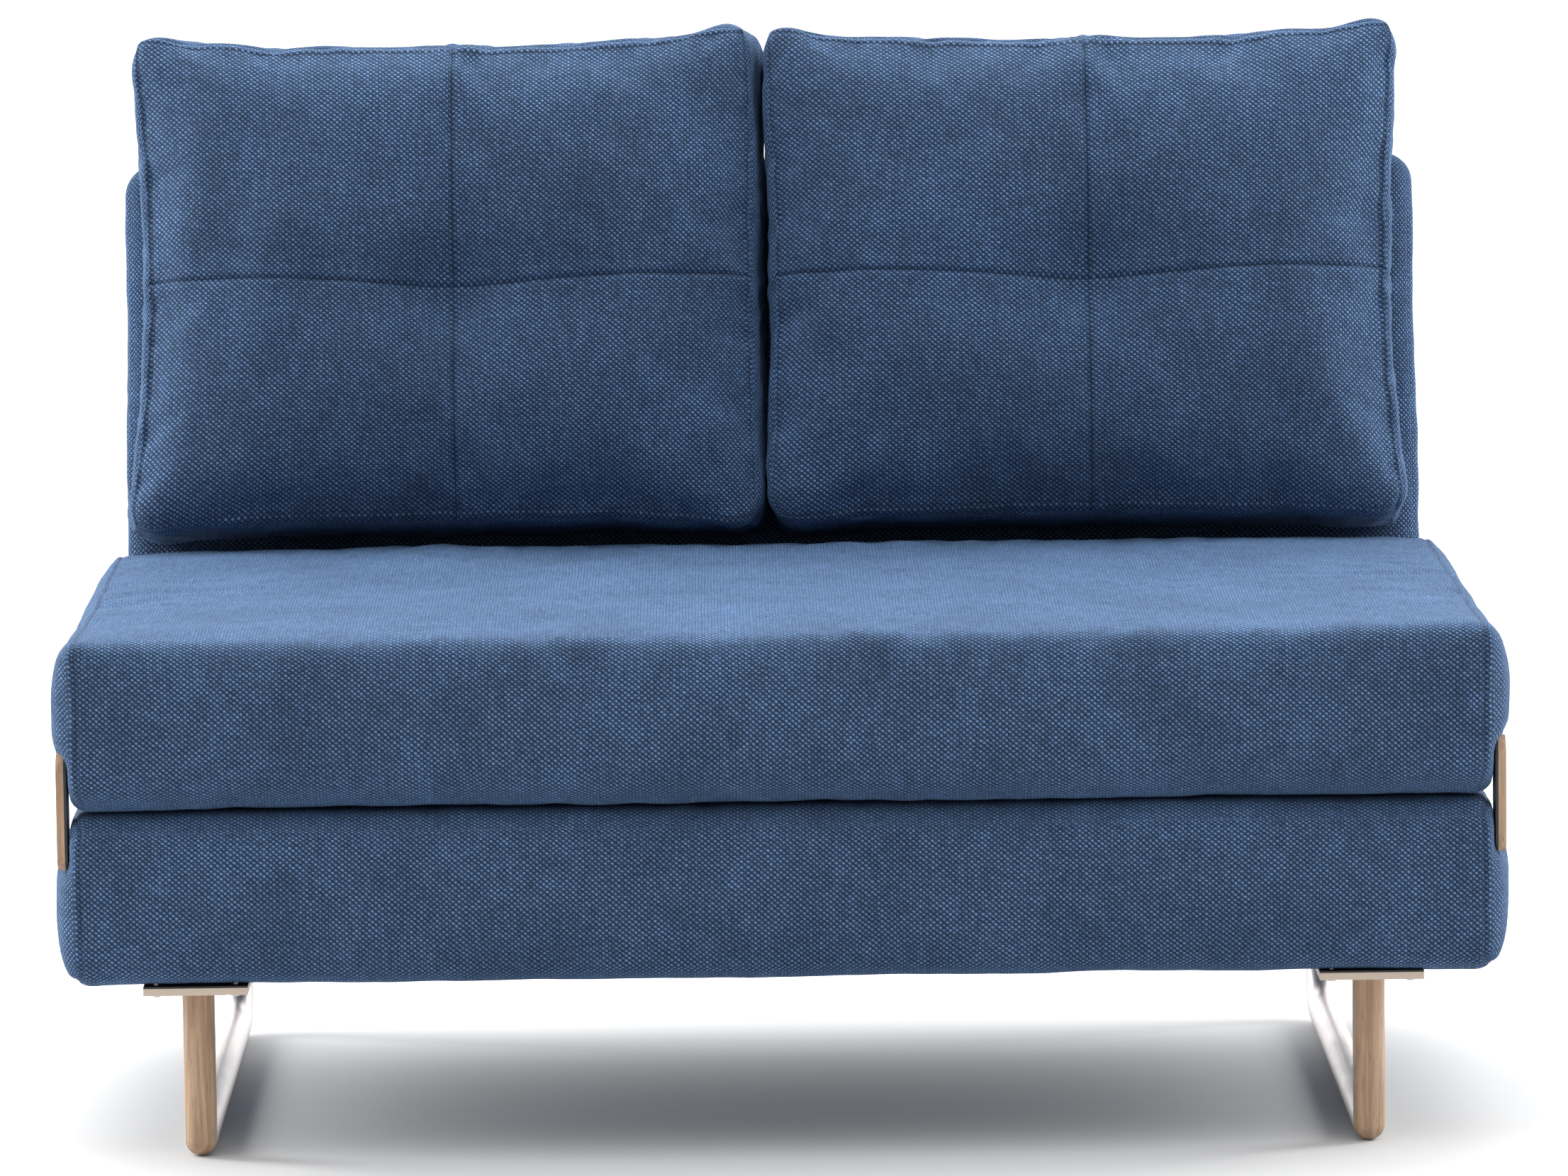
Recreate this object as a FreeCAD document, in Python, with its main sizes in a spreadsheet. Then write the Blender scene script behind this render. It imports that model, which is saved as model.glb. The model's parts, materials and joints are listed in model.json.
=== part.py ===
import FreeCAD, Part
import math
import os
import Sketcher

from FreeCAD import Placement, Rotation, Vector

# A two-seat futon sofa bed. A lower mattress section stands on a sled base: oak front legs, and steel
# runners that bend up behind it. The upper section lies on the lower one and rolls forward over its
# front edge on a pair of oak links. A padded back is hinged to the tops of the runners, and two loose
# cushions lean on it. Millimetres, +Z up, the front faces -Y. The origin is on the floor, in the
# middle of the whole piece in its sofa position.

DRIVING = {
    "section_width": 1188,  # each mattress section, across
    "section_depth": 670,  # each mattress section, front to rear
    "section_height": 145,
    "seam_gap": 1,  # between the two sections
    "ground_clear": 150,  # floor to the underside of the lower section
    "skin": 8,  # quilted cover: fabric and wadding
    "rail": 20,  # thickness of the wooden rails
    "edge_round": 12,
    "slat_wide": 52,
    "slat_thick": 12,
    "slat_count": 8,
    "pivot_rise": 30,  # link pivots above and below the middle of the seam
    "link_length": 98,
    "link_wide": 30,
    "link_board": 6.5,  # the oak of a link
    "link_steel": 2.4,  # the steel strip behind the oak
    "link_gap": 0.8,  # section side to steel strip
    "pivot_pin": 5,  # radius of a link's shoulder bolt
    "bush_wall": 2,
    "leg_across": 981,  # between the axes of the front legs
    "leg_inset": 52,  # front face to leg axis
    "leg_radius": 13.5,
    "plate_side": 87,
    "plate_thick": 6,
    "gasket": 1.5,
    "collar_rim": 2,
    "collar_tall": 3,
    "tube_wall": 2,
    "bend_radius": 40,
    "upright_gap": 0.6,  # section rear to runner upright
    "recline": 12.5,  # degrees that the back leans in the sofa position
    "panel_width": 1176,
    "panel_length": 495,
    "panel_thick": 95,
    "panel_corner": 24,
    "panel_gap": 8,  # section rear to the lower edge of the back's front face
    "hinge_depth": 12,  # hinge axis behind the back's front face
    "hinge_drop": 16,  # hinge axis below the back's lower end
    "hinge_pin": 4,  # radius
    "knuckle": 9.5,  # radius of a hinge knuckle
    "lug_thick": 8,
    "fork_half": 9,  # half the width of a hinge fork
    "cushion_width": 566,
    "cushion_tall": 445,
    "cushion_thick": 130,
    "cushion_round": 26,
    "swing_across": 1060,  # between the pivots of the swing legs
    "swing_rise": 79,  # swing leg pivot above the underside of the upper section
    "swing_board": 14,
    "swing_wide": 46,
    "running": 0.05,  # radial clearance of a pin in its bore
}

doc = FreeCAD.newDocument("SofaBed")
sheet = doc.addObject("Spreadsheet::Sheet", "Sizes")
rows = 0


def cell(alias, value):
    """Adds one named size to the sheet, as a plain number."""
    global rows
    rows += 1
    sheet.set(f"A{rows}", alias)
    sheet.set(f"B{rows}", f"{value:.6f}")
    sheet.setAlias(f"B{rows}", alias)


for alias, value in DRIVING.items():
    cell(alias, value)
doc.recompute()


def size(alias):
    return float(sheet.get(alias))


# Sizes that follow from the driving ones.
lean = math.radians(size("recline"))
seam = size("ground_clear") + size("section_height") + size("seam_gap") / 2
hinge_back = (
    size("section_depth")
    + size("panel_gap")
    + size("hinge_depth") * math.cos(lean)
    - size("hinge_drop") * math.sin(lean)
)
deepest = (
    hinge_back
    + (size("panel_thick") - size("hinge_depth") - size("edge_round")) * math.cos(lean)
    + (size("hinge_drop") + size("panel_length") - size("edge_round")) * math.sin(lean)
    + size("edge_round")
)
seat_top = size("ground_clear") + 2 * size("section_height") + size("seam_gap")
SEAT_TO_CUSHION = 0.6
PANEL_TO_CUSHION = 1.0
cell("front", -deepest / 2)
cell("seam", seam)
cell("seat_base", seam + size("seam_gap") / 2)
cell("seat_top", seat_top)
cell("pivot_inset", size("pivot_rise") - size("seam_gap") / 2)
cell("seam_round", size("pivot_rise") - size("seam_gap") / 2)
cell("leg_top", size("ground_clear") - size("gasket") - size("plate_thick"))
cell("hinge_y", hinge_back - deepest / 2)
cell("hinge_z", seam - size("seam_gap") - size("hinge_depth"))
cell("upright_y", size("section_depth") + size("upright_gap") + size("leg_radius") - deepest / 2)
doc.recompute()
cell(
    "cushion_foot",
    (
        seat_top
        + SEAT_TO_CUSHION
        - size("hinge_z")
        - (size("hinge_depth") + PANEL_TO_CUSHION) * math.sin(lean)
    )
    / math.cos(lean),
)
doc.recompute()

nodes = []
X_AXIS = Rotation(Vector(0, 1, 0), 90)
Y_AXIS = Rotation(Vector(1, 0, 0), -90)
Z_AXIS = Rotation()
BACK_FRAME = Placement(
    Vector(0, size("hinge_y"), size("hinge_z")), Rotation(Vector(1, 0, 0), -size("recline"))
)


def bind(thing, **sizes):
    """Binds properties to expressions on the sheet's names."""
    for name, text in sizes.items():
        thing.setExpression(name.replace("__", "."), on_sheet(text))


def on_sheet(text):
    """Puts the sheet's name before each of its names in an expression."""
    words = ""
    word = ""
    for mark in str(text) + " ":
        if mark.isalnum() or mark == "_":
            word += mark
            continue
        words += ("Sizes." + word if word in known else word) + mark
        word = ""
    return words.strip()


known = {sheet.getAlias(f"B{row}") for row in range(1, rows + 1)}


def put(thing, x=0, y=0, z=0, turn=Z_AXIS):
    """Places a thing by expressions for its corner or axis point."""
    thing.Placement = Placement(Vector(), turn)
    bind(thing, Placement__Base__x=x, Placement__Base__y=y, Placement__Base__z=z)
    return thing


def box(name, length, width, height, x, y, z):
    """A box from its low corner."""
    thing = doc.addObject("Part::Box", name)
    bind(thing, Length=length, Width=width, Height=height)
    return put(thing, x, y, z)


def rod(name, radius, length, x, y, z, turn=Z_AXIS):
    """A cylinder from its base point, along the axis that turn gives."""
    thing = doc.addObject("Part::Cylinder", name)
    bind(thing, Radius=radius, Height=length)
    return put(thing, x, y, z, turn)


def together(name, things):
    """Separate solids as one object."""
    thing = doc.addObject("Part::Compound", name)
    thing.Links = things
    return thing


def fused(name, things):
    thing = doc.addObject("Part::MultiFuse", name)
    thing.Shapes = things
    return thing


def cut(name, base, tool):
    thing = doc.addObject("Part::Cut", name)
    thing.Base = base
    thing.Tool = tool
    return thing


def shared(name, base, tool):
    """What two things have in common."""
    thing = doc.addObject("Part::Common", name)
    thing.Base = base
    thing.Tool = tool
    return thing


def node(thing, label):
    """Makes a thing one of the sub-parts that are written out."""
    thing.Label = label
    nodes.append(thing)
    return thing


def on_back(thing, x=0, y=0, z=0, turn=Z_AXIS):
    """Places a thing in the back's own frame: the hinge axis is its x, and z runs up the panel."""
    thing.Placement = BACK_FRAME.multiply(Placement(Vector(x, y, z), turn))
    return thing


# ---------------------------------------------------------------- PartDesign helpers


def new_body(name):
    return doc.addObject("PartDesign::Body", name)


def plane(body, role):
    return next(f for f in body.Origin.OriginFeatures if f.Role == role)


def new_sketch(body, role, name):
    sketch = body.newObject("Sketcher::SketchObject", name)
    sketch.AttachmentSupport = [(plane(body, role), "")]
    sketch.MapMode = "FlatFace"
    return sketch


def line(sketch, start, end):
    return sketch.addGeometry(Part.LineSegment(Vector(*start, 0), Vector(*end, 0)), False)


def constrain(sketch, kind, *where, text=None):
    """Adds a constraint, and binds it to an expression where text gives one."""
    spot = sketch.addConstraint(Sketcher.Constraint(kind, *where))
    if text is not None:
        sketch.setExpression(f"Constraints[{spot}]", on_sheet(text))
    return spot


def rectangle(sketch, wide, tall):
    """A rectangle centred on the sketch's origin."""
    a = line(sketch, (-10, -5), (10, -5))
    b = line(sketch, (10, -5), (10, 5))
    c = line(sketch, (10, 5), (-10, 5))
    e = line(sketch, (-10, 5), (-10, -5))
    for one, other in ((a, b), (b, c), (c, e), (e, a)):
        constrain(sketch, "Coincident", one, 2, other, 1)
    for side in (a, c):
        constrain(sketch, "Horizontal", side)
    for side in (b, e):
        constrain(sketch, "Vertical", side)
    constrain(sketch, "Symmetric", a, 1, b, 2, -1, 1)
    constrain(sketch, "DistanceX", a, 1, a, 2, 20.0, text=wide)
    constrain(sketch, "DistanceY", b, 1, b, 2, 10.0, text=tall)
    return sketch


def circle(sketch, radius, x="0", y="0"):
    ring = sketch.addGeometry(Part.Circle(Vector(0, 0, 0), Vector(0, 0, 1), 3), False)
    constrain(sketch, "Radius", ring, 3.0, text=radius)
    constrain(sketch, "DistanceX", -1, 1, ring, 3, 1.0, text=x)
    constrain(sketch, "DistanceY", -1, 1, ring, 3, 1.0, text=y)
    return sketch


def capsule(sketch, length, radius, low="0"):
    """An upright slot shape: its lower arc's centre is low above the origin, length below the upper one."""
    right = line(sketch, (3, 0), (3, 20))
    top = sketch.addGeometry(
        Part.ArcOfCircle(Part.Circle(Vector(0, 20, 0), Vector(0, 0, 1), 3), 0, math.pi), False
    )
    left = line(sketch, (-3, 20), (-3, 0))
    foot = sketch.addGeometry(
        Part.ArcOfCircle(Part.Circle(Vector(0, 0, 0), Vector(0, 0, 1), 3), math.pi, 2 * math.pi), False
    )
    for one, one_end, other, other_end in (
        (right, 2, top, 1),
        (top, 2, left, 1),
        (left, 2, foot, 1),
        (foot, 2, right, 1),
    ):
        constrain(sketch, "Tangent", one, one_end, other, other_end)
    constrain(sketch, "Vertical", right)
    constrain(sketch, "Equal", foot, top)
    constrain(sketch, "PointOnObject", foot, 3, -2)
    constrain(sketch, "Radius", foot, 3.0, text=radius)
    constrain(sketch, "DistanceY", -1, 1, foot, 3, 1.0, text=low)
    constrain(sketch, "DistanceY", foot, 3, top, 3, 20.0, text=length)
    return sketch


def pad(body, sketch, length, name, middle=False, reverse=False):
    feature = body.newObject("PartDesign::Pad", name)
    feature.Profile = sketch
    bind(feature, Length=length)
    feature.Midplane = middle
    feature.Reversed = reverse
    doc.recompute()
    return feature


def pocket(body, sketch, length, name, middle=True, reverse=False):
    """Cuts a sketch out of its body, and makes sure that the cut took something away."""
    before = body.Shape.Volume
    feature = body.newObject("PartDesign::Pocket", name)
    feature.Profile = sketch
    bind(feature, Length=length)
    feature.Midplane = middle
    feature.Reversed = reverse
    doc.recompute()
    if not body.Shape.Volume < before - 1:
        raise RuntimeError(f"{name} cuts nothing")
    return feature


def round_off(body, chosen, radius, name):
    """Rounds the edges of the body's last feature that chosen picks by their middle point and direction."""
    last = body.Tip
    names = []
    for number, edge in enumerate(last.Shape.Edges, 1):
        middle = edge.valueAt((edge.FirstParameter + edge.LastParameter) / 2)
        if edge.Curve.TypeId == "Part::GeomLine" and chosen(middle, edge.Curve.Direction):
            names.append(f"Edge{number}")
    feature = body.newObject("PartDesign::Fillet", name)
    feature.Base = (last, names)
    bind(feature, Radius=radius)
    doc.recompute()
    return feature


def soft_block(name, wide, deep, tall, seam_edge=None, seam_round=None, edge="edge_round"):
    """A block centred over its origin with rounded edges. seam_edge picks the front edge that rolls."""
    body = new_body(name)
    sketch = rectangle(new_sketch(body, "XY_Plane", name + "Outline"), wide, deep)
    pad(body, sketch, tall, name + "Pad")
    if seam_edge:
        round_off(body, seam_edge, seam_round, name + "Seam")
    front_back = body.Tip.Shape.BoundBox
    inside = 1.0

    def on_rim(middle, direction):
        flat = sum(
            (
                abs(middle.x) > front_back.XMax - inside,
                abs(middle.y) > front_back.YMax - inside,
                not front_back.ZMin + inside < middle.z < front_back.ZMax - inside,
            )
        )
        return flat >= 2

    round_off(body, on_rim, edge, name + "Rim")
    return body


# ---------------------------------------------------------------- mattress sections

PIVOT_LOW = "seam - pivot_rise"
PIVOT_HIGH = "seam + pivot_rise"
LINK_BACK = "section_width / 2 + link_gap"
BOLT_DEPTH = 14  # a link's shoulder bolt in its rail
SCREW_PITCH = 66  # between the screws of a leg plate
UPRIGHT_BOLT_RISES = (16, 40)  # above the underside of the lower section
SCREW = 2.2  # radius of a leg plate's screws
STUD = 4  # radius of a front leg's stud
FORK_SEAT = 20  # hinge axis above the top of a runner's upright
FORK_PLUG = 24  # length of a fork's plug inside the tube
SWING_PIN = 4  # radius of a swing leg's bolt
CUSHION_APART = 2
CUSHION_SKIN = 2.5


def mirrored(name, make):
    """The left and the right one of a piece that make builds from a name and a side."""
    return [make(f"{name}{word}", side) for word, side in (("Left", -1), ("Right", 1))]


def section_skin(name, base, seam_at_top):
    """A section's quilted cover, with a large round along the front edge at the seam, and its hollow."""

    def at_seam(middle, way):
        high = middle.z > size("section_height") / 2
        return abs(way.x) > 0.9 and middle.y < 0 and high == seam_at_top

    outer = soft_block(
        name + "Outer", "section_width", "section_depth", "section_height", at_seam, "seam_round"
    )
    put(outer, 0, "front + section_depth / 2", base)
    hollow = soft_block(
        name + "Hollow",
        "section_width - 2 * skin",
        "section_depth - 2 * skin",
        "section_height - 2 * skin",
        at_seam,
        "seam_round - skin",
        "edge_round - skin",
    )
    put(hollow, 0, "front + section_depth / 2", f"{base} + skin")
    return cut(name + "Shell", outer, hollow), hollow


def section_rails(name, base, tall, hollow):
    """The side rails and the end rails of a section, as two compounds of two, shaped to its hollow."""
    along = "section_depth - 2 * skin - 1"
    across = "section_width - 2 * skin - 2 * rail - 1.4"
    edge = "(section_width / 2 - skin - 0.5 - rail)"
    first = "front + skin + 0.5"

    def side_rail(label, side):
        x = edge if side > 0 else f"-{edge} - rail"
        return shared(label, box(label + "Box", "rail", along, tall, x, first, base), hollow)

    sides = together(name + "Sides", mirrored(name + "SideRail", side_rail))
    ends = []
    for y in (first, "front + section_depth - skin - 0.5 - rail"):
        label = f"{name}EndRail{len(ends)}"
        plain = box(label + "Box", across, "rail", tall, f"-({across}) / 2", y, base)
        ends.append(shared(label, plain, hollow))
    return sides, together(name + "Ends", ends)


def section_slats(name, height):
    """Cross slats, evenly spaced between the end rails."""
    count = int(size("slat_count"))
    across = "section_width - 2 * skin - 2 * rail - 1.8"
    room = "(section_depth - 2 * skin - 2 * rail - 1)"
    made = []
    for i in range(count):
        middle = f"front + skin + 0.5 + rail + {room} * {i + 0.5} / slat_count"
        y = f"{middle} - slat_wide / 2"
        made.append(
            box(f"{name}Slat{i}", across, "slat_wide", "slat_thick", f"-({across}) / 2", y, height)
        )
    return together(name + "Slats", made)


def section_foam(name, base, tall, hollow):
    """A foam slab that fills a section between its rails, shaped to the section's hollow."""
    across = "(section_width - 2 * skin - 2 * rail - 2.4)"
    along = "(section_depth - 2 * skin - 2 * rail - 2.4)"
    y = f"front + section_depth / 2 - {along} / 2"
    plain = box(name + "Box", across, along, tall, f"-{across} / 2", y, base)
    return shared(name, plain, hollow)


def link_bolts(name, height):
    """Shoulder bolts from the side rails out through the links, one on each side."""
    start = f"(section_width / 2 - skin - rail + {20 - BOLT_DEPTH})"
    length = f"({BOLT_DEPTH} + skin + link_gap + link_steel + link_board - 2)"

    def bolt(label, side):
        x = start if side > 0 else f"-{start} - {length}"
        return rod(label, "pivot_pin", length, x, "front + pivot_inset", height, X_AXIS)

    return together(name, mirrored(name, bolt))


def plate_rods(name, radius, length, base):
    """Rods at the four screws of each front leg plate."""
    made = []
    for side in (-1, 1):
        for number, (right, rear) in enumerate(((-1, -1), (1, -1), (1, 1), (-1, 1))):
            x = f"{side} * leg_across / 2 + {right * SCREW_PITCH / 2}"
            y = f"front + leg_inset + {rear * SCREW_PITCH / 2}"
            made.append(rod(f"{name}{side + 1}{number}", radius, length, x, y, base))
    return together(name, made)


def upright_rods(name, radius, start, length):
    """Rods along Y through both runners' uprights, at their bolts."""
    made = []
    for side in (-1, 1):
        for rise in UPRIGHT_BOLT_RISES:
            x = f"{side} * leg_across / 2"
            made.append(
                rod(f"{name}{side + 1}{rise}", radius, length, x, start, f"ground_clear + {rise}", Y_AXIS)
            )
    return together(name, made)


def lower_section():
    shell, hollow = section_skin("Lower", "ground_clear", True)
    bolts = node(link_bolts("LowerLinkBolts", PIVOT_LOW), "link_bolts_lower")
    through = upright_rods("UprightWay", 4, "upright_y - 60", 60)
    screws = plate_rods("ScrewWay", 2.2, 40, "ground_clear - 10")
    cover = cut("LowerCover", shell, together("LowerHoles", [bolts, through, screws]))
    node(cover, "lower_cover")
    base = "ground_clear + skin + 0.5"
    sides, ends = section_rails("Lower", base, "section_height - 2 * skin - 12", hollow)
    node(cut("LowerSideRails", sides, bolts), "lower_side_rails")
    node(cut("LowerEndRails", ends, together("EndRailHoles", [through, screws])), "lower_end_rails")
    slat_base = "(ground_clear + skin + 26)"
    node(section_slats("Lower", slat_base), "lower_slats")
    foam_tall = "section_height - 2 * skin - 27 - slat_thick"
    foam_base = f"{slat_base} + slat_thick + 0.5"
    node(section_foam("LowerFoam", foam_base, foam_tall, hollow), "lower_foam")
    inner = "(section_width / 2 - skin - rail - 0.9)"
    wide = f"({inner} - leg_across / 2 + plate_side / 2)"

    def block(label, side):
        x = "leg_across / 2 - plate_side / 2" if side > 0 else f"-{inner}"
        return box(label, wide, "plate_side", 25, x, "front + skin + rail + 0.9", base)

    blocks = together("CornerBlockPair", mirrored("CornerBlock", block))
    node(cut("CornerBlocks", blocks, screws), "corner_blocks")


def upper_section():
    bolts = node(link_bolts("UpperLinkBolts", PIVOT_HIGH), "link_bolts_upper")
    bore = swing_rods("SwingWay", SWING_PIN, 34)
    shell, hollow = section_skin("Upper", "seat_base", False)
    node(cut("SeatCover", shell, together("SeatHoles", [bolts, bore])), "seat_cover")
    base = "(seat_base + skin + 6)"
    sides, ends = section_rails("Seat", base, "section_height - 2 * skin - 12", hollow)
    node(cut("SeatSideRails", sides, bolts), "seat_side_rails")
    node(cut("SeatEndRails", ends, bore), "seat_end_rails")
    middle = "(seat_base + section_height / 2)"
    node(section_slats("Seat", f"{middle} - slat_thick / 2"), "seat_slats")
    half = "(section_height / 2 - skin - slat_thick / 2 - 1)"
    node(section_foam("SeatFoamLow", "seat_base + skin + 0.5", half, hollow), "seat_foam_lower")
    high = f"{middle} + slat_thick / 2 + 0.5"
    node(section_foam("SeatFoamHigh", high, half, hollow), "seat_foam_upper")


# ---------------------------------------------------------------- links


def links():
    """An oak link on each side with a steel strip behind it and a bush at each pivot."""
    for word, side in (("left", -1), ("right", 1)):
        title = word.capitalize()

        def flat(name, thick, start):
            body = new_body(name + title)
            outline = new_sketch(body, "YZ_Plane", name + title + "Outline")
            low = "pivot_rise - link_length / 2 + link_wide / 2"
            capsule(outline, "link_length - link_wide", "link_wide / 2", low)
            pad(body, outline, thick, name + title + "Pad")
            holes = new_sketch(body, "YZ_Plane", name + title + "Holes")
            circle(holes, "pivot_pin + bush_wall", "0", "0")
            circle(holes, "pivot_pin + bush_wall", "0", "2 * pivot_rise")
            pocket(body, holes, "3 * link_board", name + title + "Bores")
            x = start if side > 0 else f"-({start}) - ({thick})"
            return put(body, x, "front + pivot_inset", PIVOT_LOW)

        node(flat("LinkSteel", "link_steel", LINK_BACK), f"link_steel_{word}")
        node(flat("LinkOak", "link_board", LINK_BACK + " + link_steel"), f"link_oak_{word}")
        bush_long = "(link_steel + link_board)"
        x = LINK_BACK if side > 0 else f"-({LINK_BACK}) - {bush_long}"
        bushes = []
        for height in (PIVOT_LOW, PIVOT_HIGH):
            name = f"{title}{len(bushes)}"
            where = (bush_long, x, "front + pivot_inset", height, X_AXIS)
            outer = rod("Bush" + name, "pivot_pin + bush_wall", *where)
            bushes.append(cut("LinkBush" + name, outer, rod("Bore" + name, "pivot_pin + running", *where)))
        node(together("LinkBushes" + title, bushes), f"link_bushes_{word}")


# ---------------------------------------------------------------- base


def front_leg(name, side):
    """A round oak leg with a domed foot and a bore for its stud."""
    body = new_body(name)
    half = new_sketch(body, "XZ_Plane", name + "Profile")
    dome = half.addGeometry(
        Part.ArcOfCircle(Part.Circle(Vector(), Vector(0, 0, 1), 10), 1.5 * math.pi, 2 * math.pi), False
    )
    wall = line(half, (10, 0), (10, 50))
    top = line(half, (10, 50), (0, 50))
    axis = line(half, (0, 50), (0, -10))
    constrain(half, "Coincident", dome, 3, -1, 1)
    for one, other in ((dome, wall), (wall, top), (top, axis), (axis, dome)):
        constrain(half, "Coincident", one, 2, other, 1)
    constrain(half, "Vertical", wall)
    constrain(half, "Horizontal", top)
    constrain(half, "Vertical", axis)
    constrain(half, "PointOnObject", top, 2, -2)
    constrain(half, "Radius", dome, 10.0, text="leg_radius")
    constrain(half, "DistanceY", -1, 1, wall, 2, 50.0, text="leg_top - leg_radius")
    turned = body.newObject("PartDesign::Revolution", name + "Turned")
    turned.Profile = half
    turned.ReferenceAxis = (half, ["V_Axis"])
    turned.Angle = 360
    doc.recompute()
    put(body, f"{side} * leg_across / 2", "front + leg_inset", "leg_radius")
    stud = rod(name + "StudWay", STUD, 30, f"{side} * leg_across / 2", "front + leg_inset", "leg_top - 30")
    return cut(name + "Bored", body, stud)


def leg_mounts():
    """Square plates with a gasket above, a collar round each leg's top, studs and domed screws."""

    def slab(thick, base):
        def one(label, side):
            body = new_body(label)
            outline = rectangle(new_sketch(body, "XY_Plane", label + "Outline"), "plate_side", "plate_side")
            pad(body, outline, thick, label + "Pad")
            return put(body, f"{side} * leg_across / 2", "front + leg_inset", base)

        return one

    ways = plate_rods("PlateWay", SCREW, 40, "leg_top - 5")
    plates = together("LegPlatePair", mirrored("LegPlate", slab("plate_thick", "leg_top")))
    node(cut("LegPlates", plates, ways), "leg_plates")
    pads = together("GasketPair", mirrored("Gasket", slab("gasket", "leg_top + plate_thick")))
    node(cut("LegGaskets", pads, ways), "leg_gaskets")
    shanks = plate_rods("ScrewShank", SCREW, "plate_thick + gasket + skin + 20", "leg_top")
    heads = plate_rods("ScrewHead", 4.6, 1.2, "leg_top - 1.2")
    crowns = plate_rods("ScrewCrown", 3.2, 1, "leg_top - 2.2")
    node(fused("LegScrews", [shanks, heads, crowns]), "leg_screws")

    def collar(label, side):
        where = (f"{side} * leg_across / 2", "front + leg_inset", "leg_top - collar_tall")
        ring = rod(label + "Ring", "leg_radius + collar_rim", "collar_tall", *where)
        return cut(label, ring, rod(label + "Way", "leg_radius", "collar_tall", *where))

    node(together("LegCollars", mirrored("LegCollar", collar)), "leg_collars")

    def stud(label, side):
        return rod(label, STUD, 30, f"{side} * leg_across / 2", "front + leg_inset", "leg_top - 30")

    node(together("LegStuds", mirrored("LegStud", stud)), "leg_studs")


def runner(name, side, leg):
    """A steel tube that runs back along the floor from a front leg and bends up behind the section."""
    body = new_body(name)
    run = size("upright_y") - size("front") - size("leg_inset") - size("bend_radius")
    bend = size("bend_radius")
    path = new_sketch(body, "YZ_Plane", name + "Path")
    floor = line(path, (0, 0), (run, 0))
    turn = Part.Circle(Vector(run, bend, 0), Vector(0, 0, 1), bend)
    arc = path.addGeometry(Part.ArcOfCircle(turn, 1.5 * math.pi, 2 * math.pi), False)
    rise = line(path, (run + bend, bend), (run + bend, 2 * bend))
    constrain(path, "Coincident", floor, 1, -1, 1)
    constrain(path, "Horizontal", floor)
    constrain(path, "Tangent", floor, 2, arc, 1)
    constrain(path, "Tangent", arc, 2, rise, 1)
    constrain(path, "Vertical", rise)
    constrain(path, "Radius", arc, bend, text="bend_radius")
    constrain(path, "DistanceX", -1, 1, rise, 2, 50.0, text="upright_y - front - leg_inset")
    constrain(path, "DistanceY", -1, 1, rise, 2, 50.0, text=f"hinge_z - {FORK_SEAT} - leg_radius")
    ring = new_sketch(body, "XZ_Plane", name + "Ring")
    circle(ring, "leg_radius")
    circle(ring, "leg_radius - tube_wall")
    pipe = body.newObject("PartDesign::AdditivePipe", name + "Pipe")
    pipe.Profile = ring
    pipe.Spine = path
    doc.recompute()
    put(body, f"{side} * leg_across / 2", "front + leg_inset", "leg_radius")
    return cut(name + "Coped", body, leg)


def base():
    """Legs, runners, the bolts through their uprights, and the hinge forks on top of them."""
    across = upright_rods("UprightBore", 4, "upright_y - 60", 100)
    for word, side in (("left", -1), ("right", 1)):
        leg = front_leg("FrontLeg" + word.capitalize(), side)
        node(leg, f"front_leg_{word}")
        tube = runner("Runner" + word.capitalize(), side, leg)
        node(cut(f"Runner{word.capitalize()}Drilled", tube, across), f"runner_{word}")
    leg_mounts()
    length = "2 * leg_radius + upright_gap + skin + rail + 3"
    shanks = upright_rods("UprightShank", 4, f"upright_y + leg_radius - ({length})", length)
    heads = upright_rods("UprightHead", 7, "upright_y + leg_radius", 3.5)
    node(fused("UprightBolts", [shanks, heads]), "upright_bolts")

    def fork(label, side):
        body = new_body(label + "Cheeks")
        cheek = new_sketch(body, "YZ_Plane", label + "Outline")
        capsule(cheek, f"{FORK_SEAT} - knuckle", "knuckle", f"knuckle - {FORK_SEAT}")
        pad(body, cheek, "2 * fork_half", label + "Pad", middle=True)
        slot = rectangle(new_sketch(body, "XZ_Plane", label + "Slot"), "lug_thick + 0.6", "2 * knuckle + 4")
        pocket(body, slot, "4 * knuckle", label + "SlotCut")
        eye = circle(new_sketch(body, "YZ_Plane", label + "Eye"), "hinge_pin")
        pocket(body, eye, "4 * fork_half", label + "EyeCut")
        middle = f"{side} * leg_across / 2"
        put(body, middle, "hinge_y", "hinge_z")
        seat = f"hinge_z - {FORK_SEAT}"
        low = f"{seat} - {FORK_PLUG}"
        plug = rod(label + "Plug", "leg_radius - tube_wall - 0.1", FORK_PLUG + 4, middle, "upright_y", low)
        cap = rod(label + "Cap", "leg_radius", 4, middle, "upright_y", seat)
        return fused(label, [body, plug, cap])

    forks = mirrored("HingeFork", fork)
    node(together("HingeForks", forks), "hinge_forks")

    def pin(label, side):
        middle = f"{side} * leg_across / 2"
        pieces = []
        for word, radius, length, start in (
            ("Shank", "hinge_pin", "(2 * fork_half + 3)", "(0 - fork_half - 1.5)"),
            ("Head", "hinge_pin + 2.5", 2, "(fork_half + 1.5)"),
            ("Clip", "hinge_pin + 1.5", 1, "(0 - fork_half - 1.3)"),
        ):
            x = f"{middle} + {start}" if side > 0 else f"{middle} - {start} - {length}"
            pieces.append(rod(label + word, radius, length, x, "hinge_y", "hinge_z", X_AXIS))
        return fused(label, pieces)

    node(together("HingePins", mirrored("HingePin", pin)), "hinge_pins")


# ---------------------------------------------------------------- back

FLAT_ON = Rotation(Vector(1, 0, 0), 90)  # turns a block that is drawn lying down to stand in the back's frame


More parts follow.
